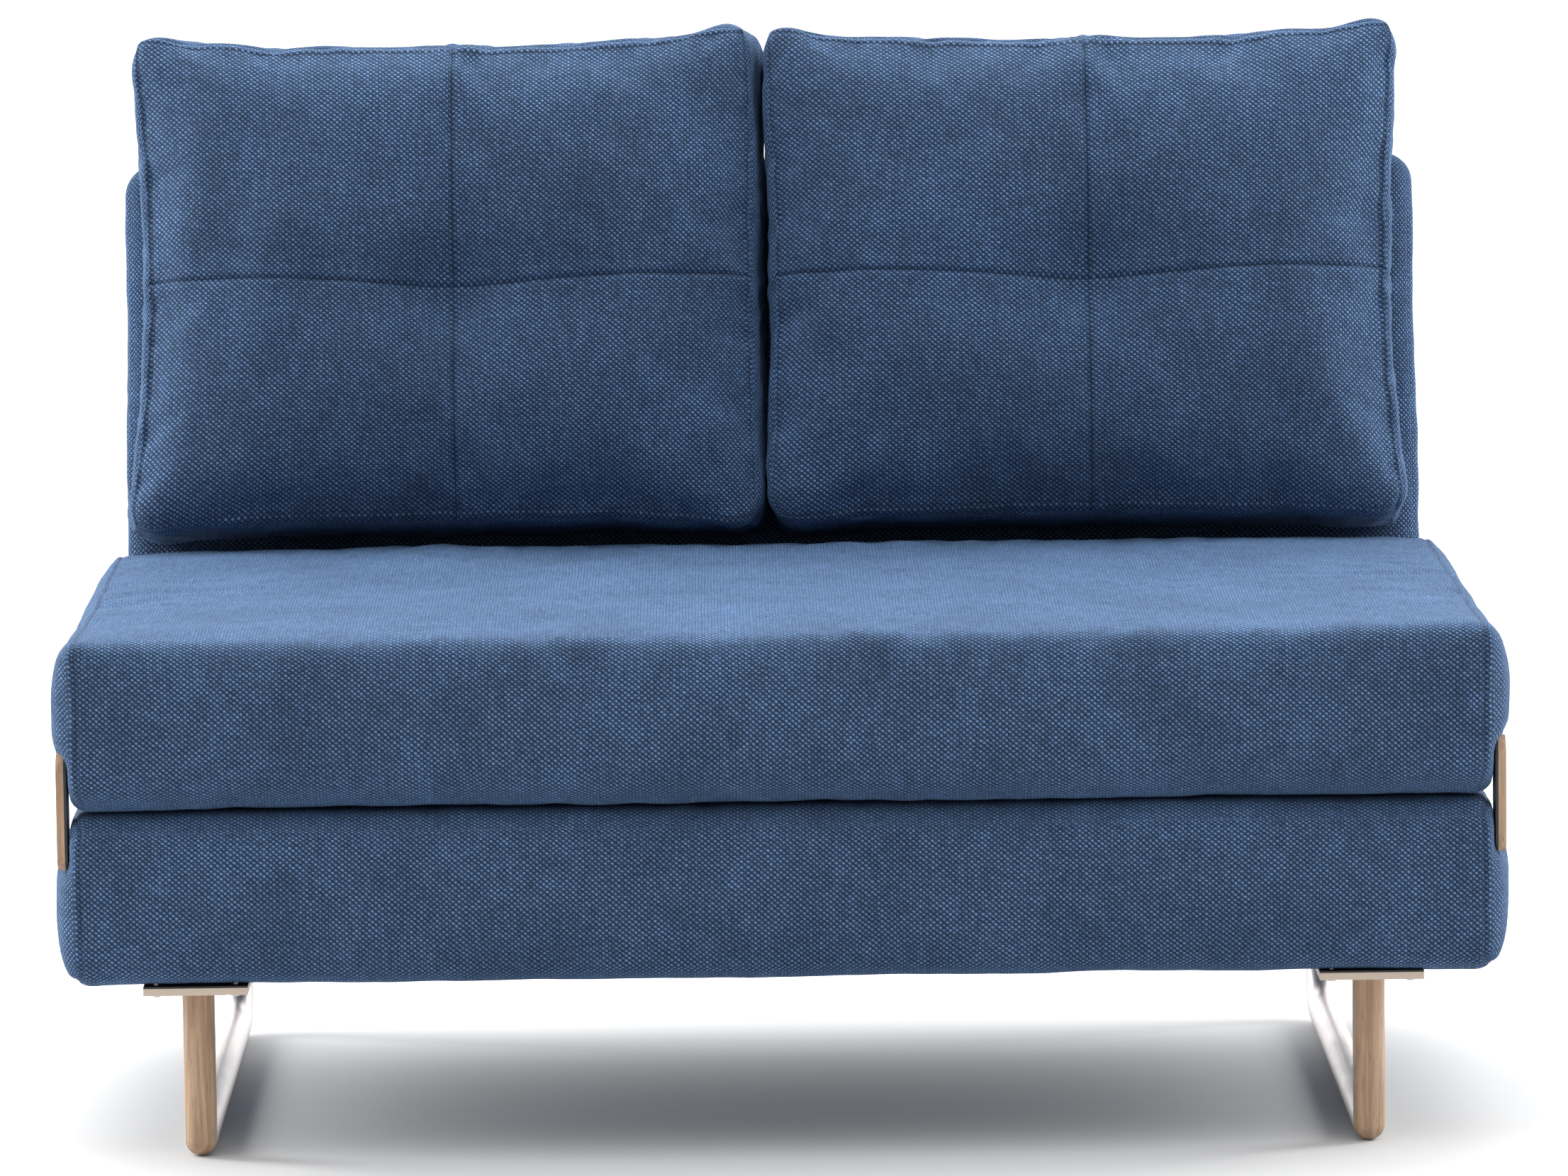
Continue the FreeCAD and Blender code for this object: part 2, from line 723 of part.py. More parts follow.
def back_box(name, wide, deep, tall, y, z):
    """A box across the middle of the back, from its front low edge, in the back's own frame."""
    thing = doc.addObject("Part::Box", name)
    bind(thing, Length=wide, Width=deep, Height=tall)
    doc.recompute()
    return on_back(thing, -thing.Length.Value / 2, y, z)


def reclining_back():
    """A padded panel: cover, foam, frame and board, with two hinge lugs under its lower end."""
    rear = size("panel_thick") - size("hinge_depth")
    foot = size("hinge_drop")
    skin = size("skin")
    centre = foot + size("panel_length") / 2

    def at_top(middle, way):
        return abs(way.z) > 0.9 and middle.y > 0

    outer = soft_block("BackOuter", "panel_width", "panel_length", "panel_thick", at_top, "panel_corner")
    on_back(outer, 0, rear, centre, FLAT_ON)
    hollow = soft_block(
        "BackHollow",
        "panel_width - 2 * skin",
        "panel_length - 2 * skin",
        "panel_thick - 2 * skin",
        at_top,
        "panel_corner - skin",
        "edge_round - skin",
    )
    on_back(hollow, 0, rear - skin, centre, FLAT_ON)
    shell = cut("BackShell", outer, hollow)
    screws = lug_rods("LugScrewWay", SCREW, 24, foot - 3)
    node(cut("BackCover", shell, screws), "back_cover")
    board = 9
    timber = 26
    inset = 7
    wide = f"panel_width - 2 * skin - 2 * {inset}"
    tall = f"panel_length - 2 * skin - 2 * {inset}"
    low = foot + skin + inset
    y = rear - skin - 0.5 - board
    node(back_box("BackBoard", wide, board, tall, y, low), "back_board")
    y -= 0.3 + timber
    ends = [
        back_box(f"BackEndRail{i}", wide, timber, "rail", y, z)
        for i, z in enumerate((foot + skin + 0.5, foot + size("panel_length") - skin - inset - size("rail")))
    ]
    node(cut("BackEndRails", together("BackEndPair", ends), screws), "back_end_rails")
    upright = f"panel_length - 2 * skin - 2 * rail - {inset} - 1.5"
    posts = []
    for i, side in enumerate((-1, 0, 1)):
        post = doc.addObject("Part::Box", f"BackPost{i}")
        bind(post, Length="rail", Width=timber, Height=upright)
        doc.recompute()
        reach = size("panel_width") / 2 - skin - inset - size("rail") / 2
        on_back(post, side * reach - size("rail") / 2, y, foot + skin + size("rail") + 1)
        posts.append(post)
    node(together("BackPosts", posts), "back_posts")
    front = -size("hinge_depth") + skin + 0.5
    node(back_box("BackFoam", wide, y - 0.3 - front, tall, front, low), "back_foam")
    hinge_lugs(foot)


LUG_PLATE = (60, 3.5)  # across, thick
LUG_PLATE_FRONT = 10  # front edge of the plate ahead of the hinge axis
LUG_PLATE_REAR = 17  # rear edge of the plate ahead of the back's rear face
LUG_SCREWS = ((-22, 37), (22, 37), (-22, 25), (22, 25))  # across the plate, ahead of the rear face


def lug_rods(name, radius, length, z):
    """Rods at the screws of both hinge lugs, in the back's own frame."""
    made = []
    rear = size("panel_thick") - size("hinge_depth")
    for side in (-1, 1):
        for number, (x, ahead) in enumerate(LUG_SCREWS):
            thing = doc.addObject("Part::Cylinder", f"{name}{side + 1}{number}")
            bind(thing, Radius=radius, Height=length)
            made.append(on_back(thing, side * size("leg_across") / 2 + x, rear - ahead, z))
    return together(name, made)


def hinge_lugs(foot):
    across, thick = LUG_PLATE
    deep = LUG_PLATE_FRONT + size("panel_thick") - size("hinge_depth") - LUG_PLATE_REAR

    def lug(label, side):
        middle = side * size("leg_across") / 2
        plate = doc.addObject("Part::Box", label + "Plate")
        bind(plate, Length=across, Width=deep, Height=thick)
        on_back(plate, middle - across / 2, -LUG_PLATE_FRONT, foot - thick)
        web = doc.addObject("Part::Box", label + "Web")
        bind(web, Length="lug_thick", Width="2 * knuckle", Height="hinge_drop - 1")
        on_back(web, middle - size("lug_thick") / 2, -size("knuckle"), 0)
        ring = doc.addObject("Part::Cylinder", label + "Ring")
        bind(ring, Radius="knuckle", Height="lug_thick")
        on_back(ring, middle - size("lug_thick") / 2, 0, 0, X_AXIS)
        eye = doc.addObject("Part::Cylinder", label + "Eye")
        bind(eye, Radius="hinge_pin + running", Height="lug_thick")
        on_back(eye, middle - size("lug_thick") / 2, 0, 0, X_AXIS)
        return cut(label, fused(label + "Solid", [plate, web, ring]), eye)

    lugs = together("HingeLugPair", mirrored("HingeLug", lug))
    node(cut("HingeLugs", lugs, lug_rods("LugWay", SCREW, 20, foot - 8)), "hinge_lugs")
    shanks = lug_rods("LugShank", SCREW, 22, foot - thick)
    heads = lug_rods("LugHead", 4, 1.5, foot - thick - 1.5)
    node(fused("LugScrews", [shanks, heads]), "lug_screws")


def cushions():
    """Two loose cushions, each a sewn cover with a filling."""
    rear = -size("hinge_depth") - PANEL_TO_CUSHION
    centre = size("cushion_foot") + size("cushion_tall") / 2
    for word, side in (("left", -1), ("right", 1)):
        name = "Cushion" + word.capitalize()
        x = side * (size("cushion_width") + CUSHION_APART) / 2

        def block(label, inset):
            sides = [f"{full} - 2 * {inset}" for full in ("cushion_width", "cushion_tall", "cushion_thick")]
            made = soft_block(name + label, *sides, edge=f"cushion_round - {inset}")
            return on_back(made, x, rear - inset, centre, FLAT_ON)

        cover = cut(name + "Cover", block("Outer", 0), block("Hollow", CUSHION_SKIN))
        node(cover, f"cushion_cover_{word}")
        node(block("Filling", CUSHION_SKIN + 0.5), f"cushion_filling_{word}")


# ---------------------------------------------------------------- swing legs


def swing_rods(name, radius, length, ahead=28):
    """Rods along Y at the swing legs' pivots, from ahead of the section's rear face."""

    def one(label, side):
        x = f"{side} * swing_across / 2"
        y = f"front + section_depth - {ahead}"
        return rod(label, radius, length, x, y, "seat_base + swing_rise", Y_AXIS)

    return together(name, mirrored(name, one))


def swing_legs():
    """Flat oak legs that lie along the upper section's rear face and swing out to carry it as a bed."""
    washer = 1.2
    play = 0.3
    for word, side in (("left", -1), ("right", 1)):
        name = "SwingLeg" + word.capitalize()
        body = new_body(name)
        outline = new_sketch(body, "XZ_Plane", name + "Outline")
        reach = "2 * seam - seat_base - swing_rise - swing_wide / 2 - 1"
        capsule(outline, reach, "swing_wide / 2")
        pad(body, outline, "swing_board", name + "Pad", middle=True)
        bore = circle(new_sketch(body, "XZ_Plane", name + "Eye"), f"{SWING_PIN} + running")
        pocket(body, bore, "3 * swing_board", name + "EyeCut")
        put(
            body,
            f"{side} * swing_across / 2",
            f"front + section_depth + {washer + play} + swing_board / 2",
            "seat_base + swing_rise",
            Rotation(Vector(0, 1, 0), -90 * side),
        )
        node(body, f"swing_leg_{word}")
    out = f"{washer + play} + swing_board + {play}"
    shanks = swing_rods("SwingShank", SWING_PIN, f"28 + {out}")
    heads = swing_rods("SwingHead", 9, 2, ahead=f"(0 - ({out}))")
    node(fused("SwingBolts", [shanks, heads]), "swing_leg_bolts")
    rings = swing_rods("SwingRing", 13, washer, ahead=0)
    node(cut("SwingWashers", rings, swing_rods("SwingRingWay", SWING_PIN, 5, ahead=1)), "swing_leg_washers")


lower_section()
upper_section()
links()
base()
reclining_back()
cushions()
swing_legs()
doc.recompute()

failed = [thing.Label for thing in doc.Objects if {"Invalid", "Error"} & set(thing.State)]
failed += [thing.Label for thing in nodes if thing.Shape.isNull() or not thing.Shape.isValid()]
if failed:
    raise RuntimeError("not built: " + ", ".join(failed))

os.makedirs("parts", exist_ok=True)
for thing in nodes:
    thing.Shape.exportStep(f"parts/{thing.Label}.step")
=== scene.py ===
"""Upholstery, finishes and a studio for a two-seat futon sofa bed, built over its engineered frame."""

import json
import math

import bpy
import numpy as np
from bpy.props import FloatProperty, FloatVectorProperty, IntProperty, PointerProperty
from mathutils import Matrix, Vector


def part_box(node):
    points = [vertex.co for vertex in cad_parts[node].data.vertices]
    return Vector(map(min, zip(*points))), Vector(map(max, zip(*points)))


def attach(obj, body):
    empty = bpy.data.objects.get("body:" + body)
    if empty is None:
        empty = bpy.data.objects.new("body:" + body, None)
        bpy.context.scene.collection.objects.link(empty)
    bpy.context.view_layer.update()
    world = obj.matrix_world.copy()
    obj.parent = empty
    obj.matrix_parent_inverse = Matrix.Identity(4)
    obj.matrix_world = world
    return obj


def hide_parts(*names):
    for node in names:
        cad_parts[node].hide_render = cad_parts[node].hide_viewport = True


bl_info = {
    "name": "Futon Sofa Bed",
    "version": (1, 0, 0),
    "blender": (4, 5, 0),
    "location": "3D View > Sidebar > Sofa Bed",
    "description": "Woven upholstery, oak and steel finishes and a studio for a futon sofa bed",
    "category": "Object",
}

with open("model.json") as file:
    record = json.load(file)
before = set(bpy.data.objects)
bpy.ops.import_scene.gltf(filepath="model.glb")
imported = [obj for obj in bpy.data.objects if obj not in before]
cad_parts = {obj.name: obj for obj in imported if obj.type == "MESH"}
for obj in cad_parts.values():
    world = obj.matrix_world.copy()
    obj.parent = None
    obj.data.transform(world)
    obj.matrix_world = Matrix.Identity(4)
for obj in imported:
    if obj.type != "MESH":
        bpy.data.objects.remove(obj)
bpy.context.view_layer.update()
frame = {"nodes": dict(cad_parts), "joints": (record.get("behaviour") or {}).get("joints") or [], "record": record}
NODES = frame["nodes"]
SLOT_OF = {part["node"]: part["material_slot"] for part in frame["record"]["subparts"]}


# ---------------------------------------------------------------- sizes and colours


def length(name, description, default):
    return FloatProperty(
        name=name, description=description, default=default, min=0.0, subtype="DISTANCE", unit="LENGTH"
    )


def share(name, description, default):
    return FloatProperty(
        name=name, description=description, default=default, min=0.0, max=1.0, subtype="FACTOR"
    )


def colour(name, description, default):
    return FloatVectorProperty(
        name=name, description=description, default=default, min=0.0, max=1.0, size=3, subtype="COLOR"
    )


class SofaCloth(bpy.types.PropertyGroup):
    """The woven cloth that covers every pad"""

    raised: colour("Raised yarn", "Colour of the chenille yarn on top of the weave", (0.118, 0.225, 0.43))
    sunk: colour("Sunk yarn", "Colour of the yarn below the surface", (0.008, 0.017, 0.04))
    thread: colour("Sewing thread", "Colour of the stitches", (0.03, 0.055, 0.11))
    float_wide: length("Float width", "One yarn's width across the cloth", 0.0027)
    float_tall: length("Float height", "One yarn's width along the cloth", 0.0023)
    relief: length("Weave relief", "How far a yarn stands up", 0.0011)
    mottle: share("Mottling", "Strength of the chenille's light and dark patches", 0.17)


class SofaPadding(bpy.types.PropertyGroup):
    """How full the pads are, and how their covers are sewn"""

    press: FloatProperty(
        name="Filling pressure", description="Pressure that swells the covers", default=4.0, min=0.0
    )
    cushion_swell: length("Cushion swell", "Furthest that a cushion cover moves as it swells", 0.016)
    section_swell: length("Section swell", "Furthest that a section's cover moves as it swells", 0.006)
    stitch: length("Stitch length", "Length of one visible stitch", 0.0034)
    stitch_pitch: length("Stitch pitch", "From one stitch to the next", 0.0048)
    seam_depth: length("Seam depth", "How deep a sewn seam lies", 0.0016)
    steps: IntProperty(name="Frames", description="Frames of the swelling", default=20, min=2)


class SofaWood(bpy.types.PropertyGroup):
    """Oiled oak of the legs and links, and the pine inside"""

    oak: colour("Oak", "Colour of the oak between its pores", (0.5, 0.335, 0.22))
    oak_dark: colour("Oak grain", "Colour of the oak's darker growth rings", (0.25, 0.15, 0.088))
    pine: colour("Pine", "Colour of the hidden timber", (0.62, 0.45, 0.26))


class SofaMetal(bpy.types.PropertyGroup):
    """Tube, plates and fastenings"""

    steel: colour("Satin steel", "Colour of the runners", (0.56, 0.53, 0.52))
    plate: colour("Plate paint", "Colour of the leg plates", (0.6, 0.49, 0.4))
    black: colour("Black enamel", "Colour of the link straps and their bolts", (0.016, 0.016, 0.018))
    zinc: colour("Zinc", "Colour of the screws", (0.6, 0.6, 0.58))


class SofaStudio(bpy.types.PropertyGroup):
    """Camera, floor and lights"""

    lens: FloatProperty(
        name="Lens", description="Focal length", default=215.65, min=1.0,
        subtype="DISTANCE_CAMERA", unit="CAMERA",
    )
    stand: FloatVectorProperty(
        name="Camera", description="Where the camera stands", default=(-0.0433, -8.1682, 1.3832), size=3,
        subtype="TRANSLATION", unit="LENGTH",
    )
    tilt: FloatProperty(
        name="Tilt", description="Camera's tilt down", default=math.radians(6.672),
        subtype="ANGLE", unit="ROTATION",
    )
    swing: FloatProperty(
        name="Swing", description="Camera's turn to the right", default=math.radians(0.352),
        subtype="ANGLE", unit="ROTATION",
    )
    roll: FloatProperty(
        name="Roll", description="Camera's roll", default=math.radians(-0.726),
        subtype="ANGLE", unit="ROTATION",
    )
    overhead: FloatProperty(
        name="Overhead", description="Power of the overhead softbox", default=55.0, min=0.0, unit="POWER"
    )
    fill: FloatProperty(
        name="Fill", description="Power of the front fill", default=8.0, min=0.0, unit="POWER"
    )
    rim: FloatProperty(
        name="Rims", description="Power of the left side light", default=110.0, min=0.0, unit="POWER"
    )
    room: FloatProperty(
        name="Room", description="Strength of the room's overhead light", default=2.8, min=0.0
    )
    front: share("Front", "How bright the room is in front, against overhead", 0.04)
    floor: colour("Floor", "Colour of the floor", (0.54, 0.54, 0.54))


# ---------------------------------------------------------------- material nodes


class Shading:
    """Builds one material's node tree in short steps."""

    def __init__(self, name):
        self.material = bpy.data.materials.new(name)
        self.material.use_nodes = True
        self.tree = self.material.node_tree
        self.shader = self.tree.nodes["Principled BSDF"]

    def add(self, kind, inputs=None, **settings):
        node = self.tree.nodes.new(kind)
        for key, value in settings.items():
            setattr(node, key, value)
        for key, value in (inputs or {}).items():
            self.feed(node.inputs[key], value)
        return node

    def feed(self, socket, value):
        if isinstance(value, bpy.types.NodeSocket):
            self.tree.links.new(value, socket)
        else:
            socket.default_value = value

    def math(self, operation, *values, clamp=False):
        node = self.add("ShaderNodeMath", operation=operation, use_clamp=clamp)
        for socket, value in zip(node.inputs, values):
            self.feed(socket, value)
        return node.outputs[0]

    def noise(self, vector, scale, detail=2.0, rough=0.5):
        node = self.add("ShaderNodeTexNoise", {
            "Vector": vector, "Scale": scale, "Detail": detail, "Roughness": rough,
        })
        return node.outputs["Fac"]

    def vary(self, tone, field, strength):
        """The tone made lighter and darker by how far the field is from its middle."""
        change = self.math("MULTIPLY_ADD", self.math("SUBTRACT", field, 0.5), strength, 1.0)
        return self.math("MULTIPLY", tone, change)

    def stretch(self, vector, scale):
        return self.add("ShaderNodeMapping", {"Vector": vector, "Scale": scale}).outputs["Vector"]

    def span(self, value, low, high, to_low=0.0, to_high=1.0):
        node = self.add("ShaderNodeMapRange", {
            "Value": value, "From Min": low, "From Max": high, "To Min": to_low, "To Max": to_high,
        })
        return node.outputs["Result"]

    def blend(self, factor, one, other, mode="MIX"):
        node = self.add("ShaderNodeMix", data_type="RGBA", blend_type=mode)
        self.feed(node.inputs["Factor"], factor)
        self.feed(node.inputs["A"], one)
        self.feed(node.inputs["B"], other)
        return node.outputs["Result"]

    def bump(self, height, distance, strength=1.0):
        node = self.add("ShaderNodeBump", {"Height": height, "Distance": distance, "Strength": strength})
        return node.outputs["Normal"]

    def finish(self, **sockets):
        for name, value in sockets.items():
            self.feed(self.shader.inputs[name.replace("_", " ")], value)
        return self.material


def solid(rgb, times=1.0):
    """A colour socket's value for the colour, made darker or lighter."""
    return (*(min(1.0, part * times) for part in rgb), 1.0)


def cloth_material(cloth):
    """A chunky plain weave of raised chenille yarns over sunk ones, mottled, with a soft nap."""
    s = Shading("woven_chenille")
    laid = s.add("ShaderNodeUVMap", uv_map="Weave").outputs["UV"]
    place = s.add("ShaderNodeTexCoord").outputs["Object"]
    sway = s.add("ShaderNodeTexNoise", {"Vector": laid, "Scale": 55.0, "Detail": 2.0}).outputs["Color"]
    shift = s.add("ShaderNodeVectorMath", {0: sway, 1: (0.5, 0.5, 0.5)}, operation="SUBTRACT").outputs[0]
    shift = s.add("ShaderNodeVectorMath", {0: shift, "Scale": 0.0022}, operation="SCALE").outputs[0]
    laid = s.add("ShaderNodeVectorMath", {0: laid, 1: shift}, operation="ADD").outputs[0]
    axes = s.add("ShaderNodeSeparateXYZ", {0: laid})
    across = s.math("DIVIDE", axes.outputs["X"], cloth.float_wide)
    along = s.math("DIVIDE", axes.outputs["Y"], cloth.float_tall)
    column = s.math("FLOOR", across)
    row = s.math("FLOOR", along)
    over = s.math("FLOORED_MODULO", s.math("ADD", column, row), 2.0)
    off_along = s.math("SUBTRACT", s.math("FRACT", along), 0.5)
    off_across = s.math("MULTIPLY_ADD", off_along, 0.3, s.math("SUBTRACT", s.math("FRACT", across), 0.5))
    fall_across = s.math("MULTIPLY", s.math("MULTIPLY", off_across, off_across), 4.0)
    fall_along = s.math("MULTIPLY", s.math("MULTIPLY", off_along, off_along), 4.0)
    dome = s.math("MULTIPLY", s.math("SUBTRACT", 1.0, fall_across), s.math("SUBTRACT", 1.0, fall_along))
    dome = s.math("POWER", s.math("MAXIMUM", dome, 0.0), 0.5)
    level = s.math("MULTIPLY_ADD", over, 0.88, 0.12)
    cell = s.add("ShaderNodeCombineXYZ", {"X": column, "Y": row}).outputs[0]
    own = s.add("ShaderNodeTexWhiteNoise", {"Vector": cell}, noise_dimensions="2D").outputs["Value"]
    height = s.math("MULTIPLY", dome, s.math("MULTIPLY_ADD", own, 0.18, level))
    fuzz = s.noise(place, 2600.0, 3.0, 0.7)
    height = s.math("ADD", height, s.math("MULTIPLY", fuzz, 0.5))
    slub = s.noise(s.stretch(laid, (45.0, 420.0, 1.0)), 1.0, 3.0, 0.65)
    warp = s.noise(s.stretch(laid, (380.0, 30.0, 1.0)), 1.0, 2.0, 0.6)
    patch = s.noise(place, 9.0, 5.0, 0.62)
    cloud = s.noise(place, 42.0, 4.0, 0.6)
    tone = s.math("MULTIPLY_ADD", s.math("SUBTRACT", patch, 0.5), cloth.mottle * 4.2, 1.0)
    for field, strength in ((cloud, cloth.mottle * 1.7), (slub, 0.8), (warp, 0.7), (own, 0.3)):
        tone = s.vary(tone, field, strength)
    tone = s.math("MAXIMUM", tone, 0.25)
    shown = s.math("MULTIPLY", s.math("MULTIPLY", dome, level), tone, clamp=True)
    base = s.blend(shown, solid(cloth.sunk), solid(cloth.raised))
    lit = s.add("ShaderNodeCombineColor", {"Red": tone, "Green": tone, "Blue": tone}).outputs[0]
    base = s.blend(0.75, base, lit, "MULTIPLY")
    # Painted shade: along the seams, the Seam attribute darkens the cloth towards near-black, as shade lying in
    # the seams' grooves.
    seam = s.add("ShaderNodeAttribute", attribute_name="Seam").outputs["Fac"]
    base = s.blend(s.math("MULTIPLY", seam, 0.45), base, (0.004, 0.007, 0.015, 1.0))
    rough = s.span(shown, 0.0, 1.0, 0.95, 0.8)
    return s.finish(
        Base_Color=base,
        Roughness=rough,
        Normal=s.bump(height, cloth.relief),
        Sheen_Weight=0.28,
        Sheen_Roughness=0.45,
        Sheen_Tint=(0.3, 0.54, 0.95, 1.0),
        Specular_IOR_Level=0.25,
    )


def thread_material(cloth):
    """Twisted thread, lighter and darker along its twist."""
    s = Shading("sewing_thread")
    place = s.add("ShaderNodeTexCoord").outputs["Object"]
    twist = s.noise(place, 1800.0, 2.0)
    tone = s.blend(twist, solid(cloth.thread, 0.7), solid(cloth.thread, 1.5))
    return s.finish(
        Base_Color=tone, Roughness=s.span(twist, 0, 1, 0.45, 0.7), Normal=s.bump(twist, 0.0002, 0.6)
    )


def oak_material(name, wood, axis):
    """Oiled oak with rings, fine streaks and open pores along the given axis."""
    s = Shading(name)
    place = s.add("ShaderNodeTexCoord").outputs["Object"]

    def grained(across, along):
        """Places drawn out along the grain."""
        return s.stretch(place, tuple(along if i == axis else across for i in range(3)))

    drift = s.noise(grained(60.0, 3.0), 1.0, 3.0)
    rings = s.span(s.math("SINE", s.math("MULTIPLY", drift, 34.0)), -1.0, 1.0)
    streak = s.noise(grained(900.0, 14.0), 1.0, 3.0, 0.6)
    pore = s.span(s.noise(grained(1500.0, 75.0), 1.0, 2.0), 0.6, 0.72)
    off_streak = s.math("SUBTRACT", streak, 0.5)
    mix = s.math("MULTIPLY_ADD", off_streak, 1.1, s.math("MULTIPLY", rings, 0.55), clamp=True)
    base = s.blend(mix, solid(wood.oak), solid(wood.oak_dark))
    base = s.blend(s.math("MULTIPLY", pore, 0.55), base, solid(wood.oak_dark, 0.4))
    height = s.math("SUBTRACT", s.math("MULTIPLY", streak, 0.4), pore)
    return s.finish(
        Base_Color=base,
        Roughness=s.span(streak, 0.2, 0.8, 0.36, 0.56),
        Normal=s.bump(height, 0.00025, 0.7),
        Specular_IOR_Level=0.4,
    )


def pine_material(wood):
    """Planed pine with broad rings along the rails."""
    s = Shading("pine")
    place = s.add("ShaderNodeTexCoord").outputs["Object"]
    rings = s.noise(s.stretch(place, (6.0, 90.0, 90.0)), 1.0, 4.0, 0.6)
    base = s.blend(rings, solid(wood.pine), solid(wood.pine, 0.6))
    return s.finish(
        Base_Color=base, Roughness=s.span(rings, 0, 1, 0.5, 0.75), Normal=s.bump(rings, 0.0004, 0.5)
    )


def metal_material(name, rgb, metallic, rough, wear=0.1, scale=(300.0, 300.0, 300.0)):
    """Metal or paint with a fine directional texture, faint blotches and an uneven polish."""
    s = Shading(name)
    place = s.add("ShaderNodeTexCoord").outputs["Object"]
    brushed = s.noise(s.stretch(place, scale), 1.0, 3.0, 0.6)
    blotch = s.noise(place, 14.0, 4.0, 0.6)
    tone = s.blend(s.span(blotch, 0.3, 0.7), solid(rgb, 1 - wear), solid(rgb))
    uneven = s.span(blotch, 0.3, 0.7, -0.05, 0.05)
    polish = s.math("ADD", uneven, s.span(brushed, 0.2, 0.8, rough - 0.05, rough + 0.06))
    return s.finish(
        Base_Color=tone, Metallic=metallic, Roughness=polish, Normal=s.bump(brushed, 0.00008, 0.5)
    )


def foam_material(name, rgb):
    """Open-celled foam or fibre."""
    s = Shading(name)
    place = s.add("ShaderNodeTexCoord").outputs["Object"]
    cells = s.noise(place, 700.0, 4.0, 0.7)
    tone = s.blend(cells, solid(rgb, 0.75), solid(rgb))
    return s.finish(
        Base_Color=tone, Roughness=s.span(cells, 0, 1, 0.8, 0.95), Normal=s.bump(cells, 0.0006, 0.7)
    )


def rubber_material(name, rgb):
    """Moulded rubber or plastic with a fine matt grain."""
    s = Shading(name)
    place = s.add("ShaderNodeTexCoord").outputs["Object"]
    grain = s.noise(place, 900.0, 3.0, 0.6)
    tone = s.blend(grain, solid(rgb), solid(rgb, 1.7))
    return s.finish(
        Base_Color=tone, Roughness=s.span(grain, 0, 1, 0.55, 0.8), Normal=s.bump(grain, 0.0002, 0.6)
    )


def kept(name, make):
    """The material of that name, made the first time it is asked for."""
    return bpy.data.materials.get(name) or make()


def woven():
    return kept("woven_chenille", lambda: cloth_material(bpy.context.scene.sofa_cloth))


def threads():
    return kept("sewing_thread", lambda: thread_material(bpy.context.scene.sofa_cloth))


def dress(node, material, edge=0.0):
    """Gives a CAD node its finish, and eases its sharp edges."""
    piece = NODES[node]
    piece.data.materials.clear()
    piece.data.materials.append(material)
    if edge:
        ease = piece.modifiers.new("eased_edges", "BEVEL")
        ease.width = edge
        ease.segments = 2
        ease.limit_method = "ANGLE"
        ease.angle_limit = math.radians(40)
        ease.use_clamp_overlap = True
        ease.harden_normals = False


# ---------------------------------------------------------------- padded shells

SIDES = {  # side: axis of its normal, which end, and the axes that run across it and up it
    "front": (1, 0, 0, 2),
    "rear": (1, -1, 0, 2),
    "left": (0, 0, 1, 2),
    "right": (0, -1, 1, 2),
    "base": (2, 0, 0, 1),
    "top": (2, -1, 0, 1),
}
TURNED = {"rear", "left", "base"}  # sides whose quads are wound the other way
CUT_FROM = {  # where on the cloth each side but the top is cut from, across and along it
    "front": (0.0, 0.0),
    "rear": (0.0, 1.37),
    "left": (3.0, 2.11),
    "right": (3.0, 3.13),
    "base": (0.0, 4.7),
}
NEARLY = 1e-6  # lattice lines closer than this are the same
FINE_STEP = 0.011  # between the lines of a section's and the back's cover
COARSE_STEP = 0.014  # and of the cover that is swelled
FINE_STEP_CUSHION = 0.0075
COARSE_STEP_CUSHION = 0.0105

SEAM_GAPS = (0.0013, 0.003, 0.006)  # extra lattice lines on both sides of a seam
TOPSTITCH_GAPS = (0.0012, 0.003)
SEAM_WIDE = 0.0016  # half-width of a seam's dip
SEAM_SHADE = 0.0014  # half-width of the shade in it
PUCKER_REACH = 0.02  # how far from a seam its puckers fade
THREAD_RADIUS = 0.00048
THREAD_SIDES = 6
THREAD_PROFILE = ((-1.0, 0.25), (-0.6, 0.85), (0.0, 1.0), (0.6, 0.85), (1.0, 0.25))  # along, wide
STITCH_LIFT = 0.0002  # a stitch's middle over a section's or the back's cover, and half that on a cushion


def lines(half, step, close=()):
    """Lattice lines from -half to half, about step apart, with extra ones close to seams."""
    count = max(2, round(2 * half / step))
    made = set(np.round(np.linspace(-half, half, count + 1), 6))
    for spot, gaps in close:
        made = {m for m in made if abs(m - spot) > 0.7 * gaps[-1]}
        for gap in (0.0, *gaps):
            made |= {round(spot + gap, 6), round(spot - gap, 6)}
    return np.array(sorted(m for m in made if abs(m) <= half + 1e-9))


def shell(lattice):
    """Points, quads and one index grid per side of a closed box surface over three lists of lines."""
    counts = [len(axis) for axis in lattice]
    index = np.full(counts, -1)
    outer = np.zeros(counts, dtype=bool)
    for axis in range(3):
        for end in (0, -1):
            cut = [slice(None)] * 3
            cut[axis] = end
            outer[tuple(cut)] = True
    spots = np.argwhere(outer)
    index[outer] = np.arange(len(spots))
    points = np.stack([lattice[axis][spots[:, axis]] for axis in range(3)], axis=1)
    grids = {}
    quads = []
    for side, (axis, end, _, _) in SIDES.items():
        cut = [slice(None)] * 3
        cut[axis] = end
        grid = index[tuple(cut)]
        grids[side] = grid
        around = (grid[:-1, :-1], grid[1:, :-1], grid[1:, 1:], grid[:-1, 1:])
        four = np.stack(around, axis=-1).reshape(-1, 4)
        quads.append(four[:, ::-1] if side in TURNED else four)
    return points, quads, grids


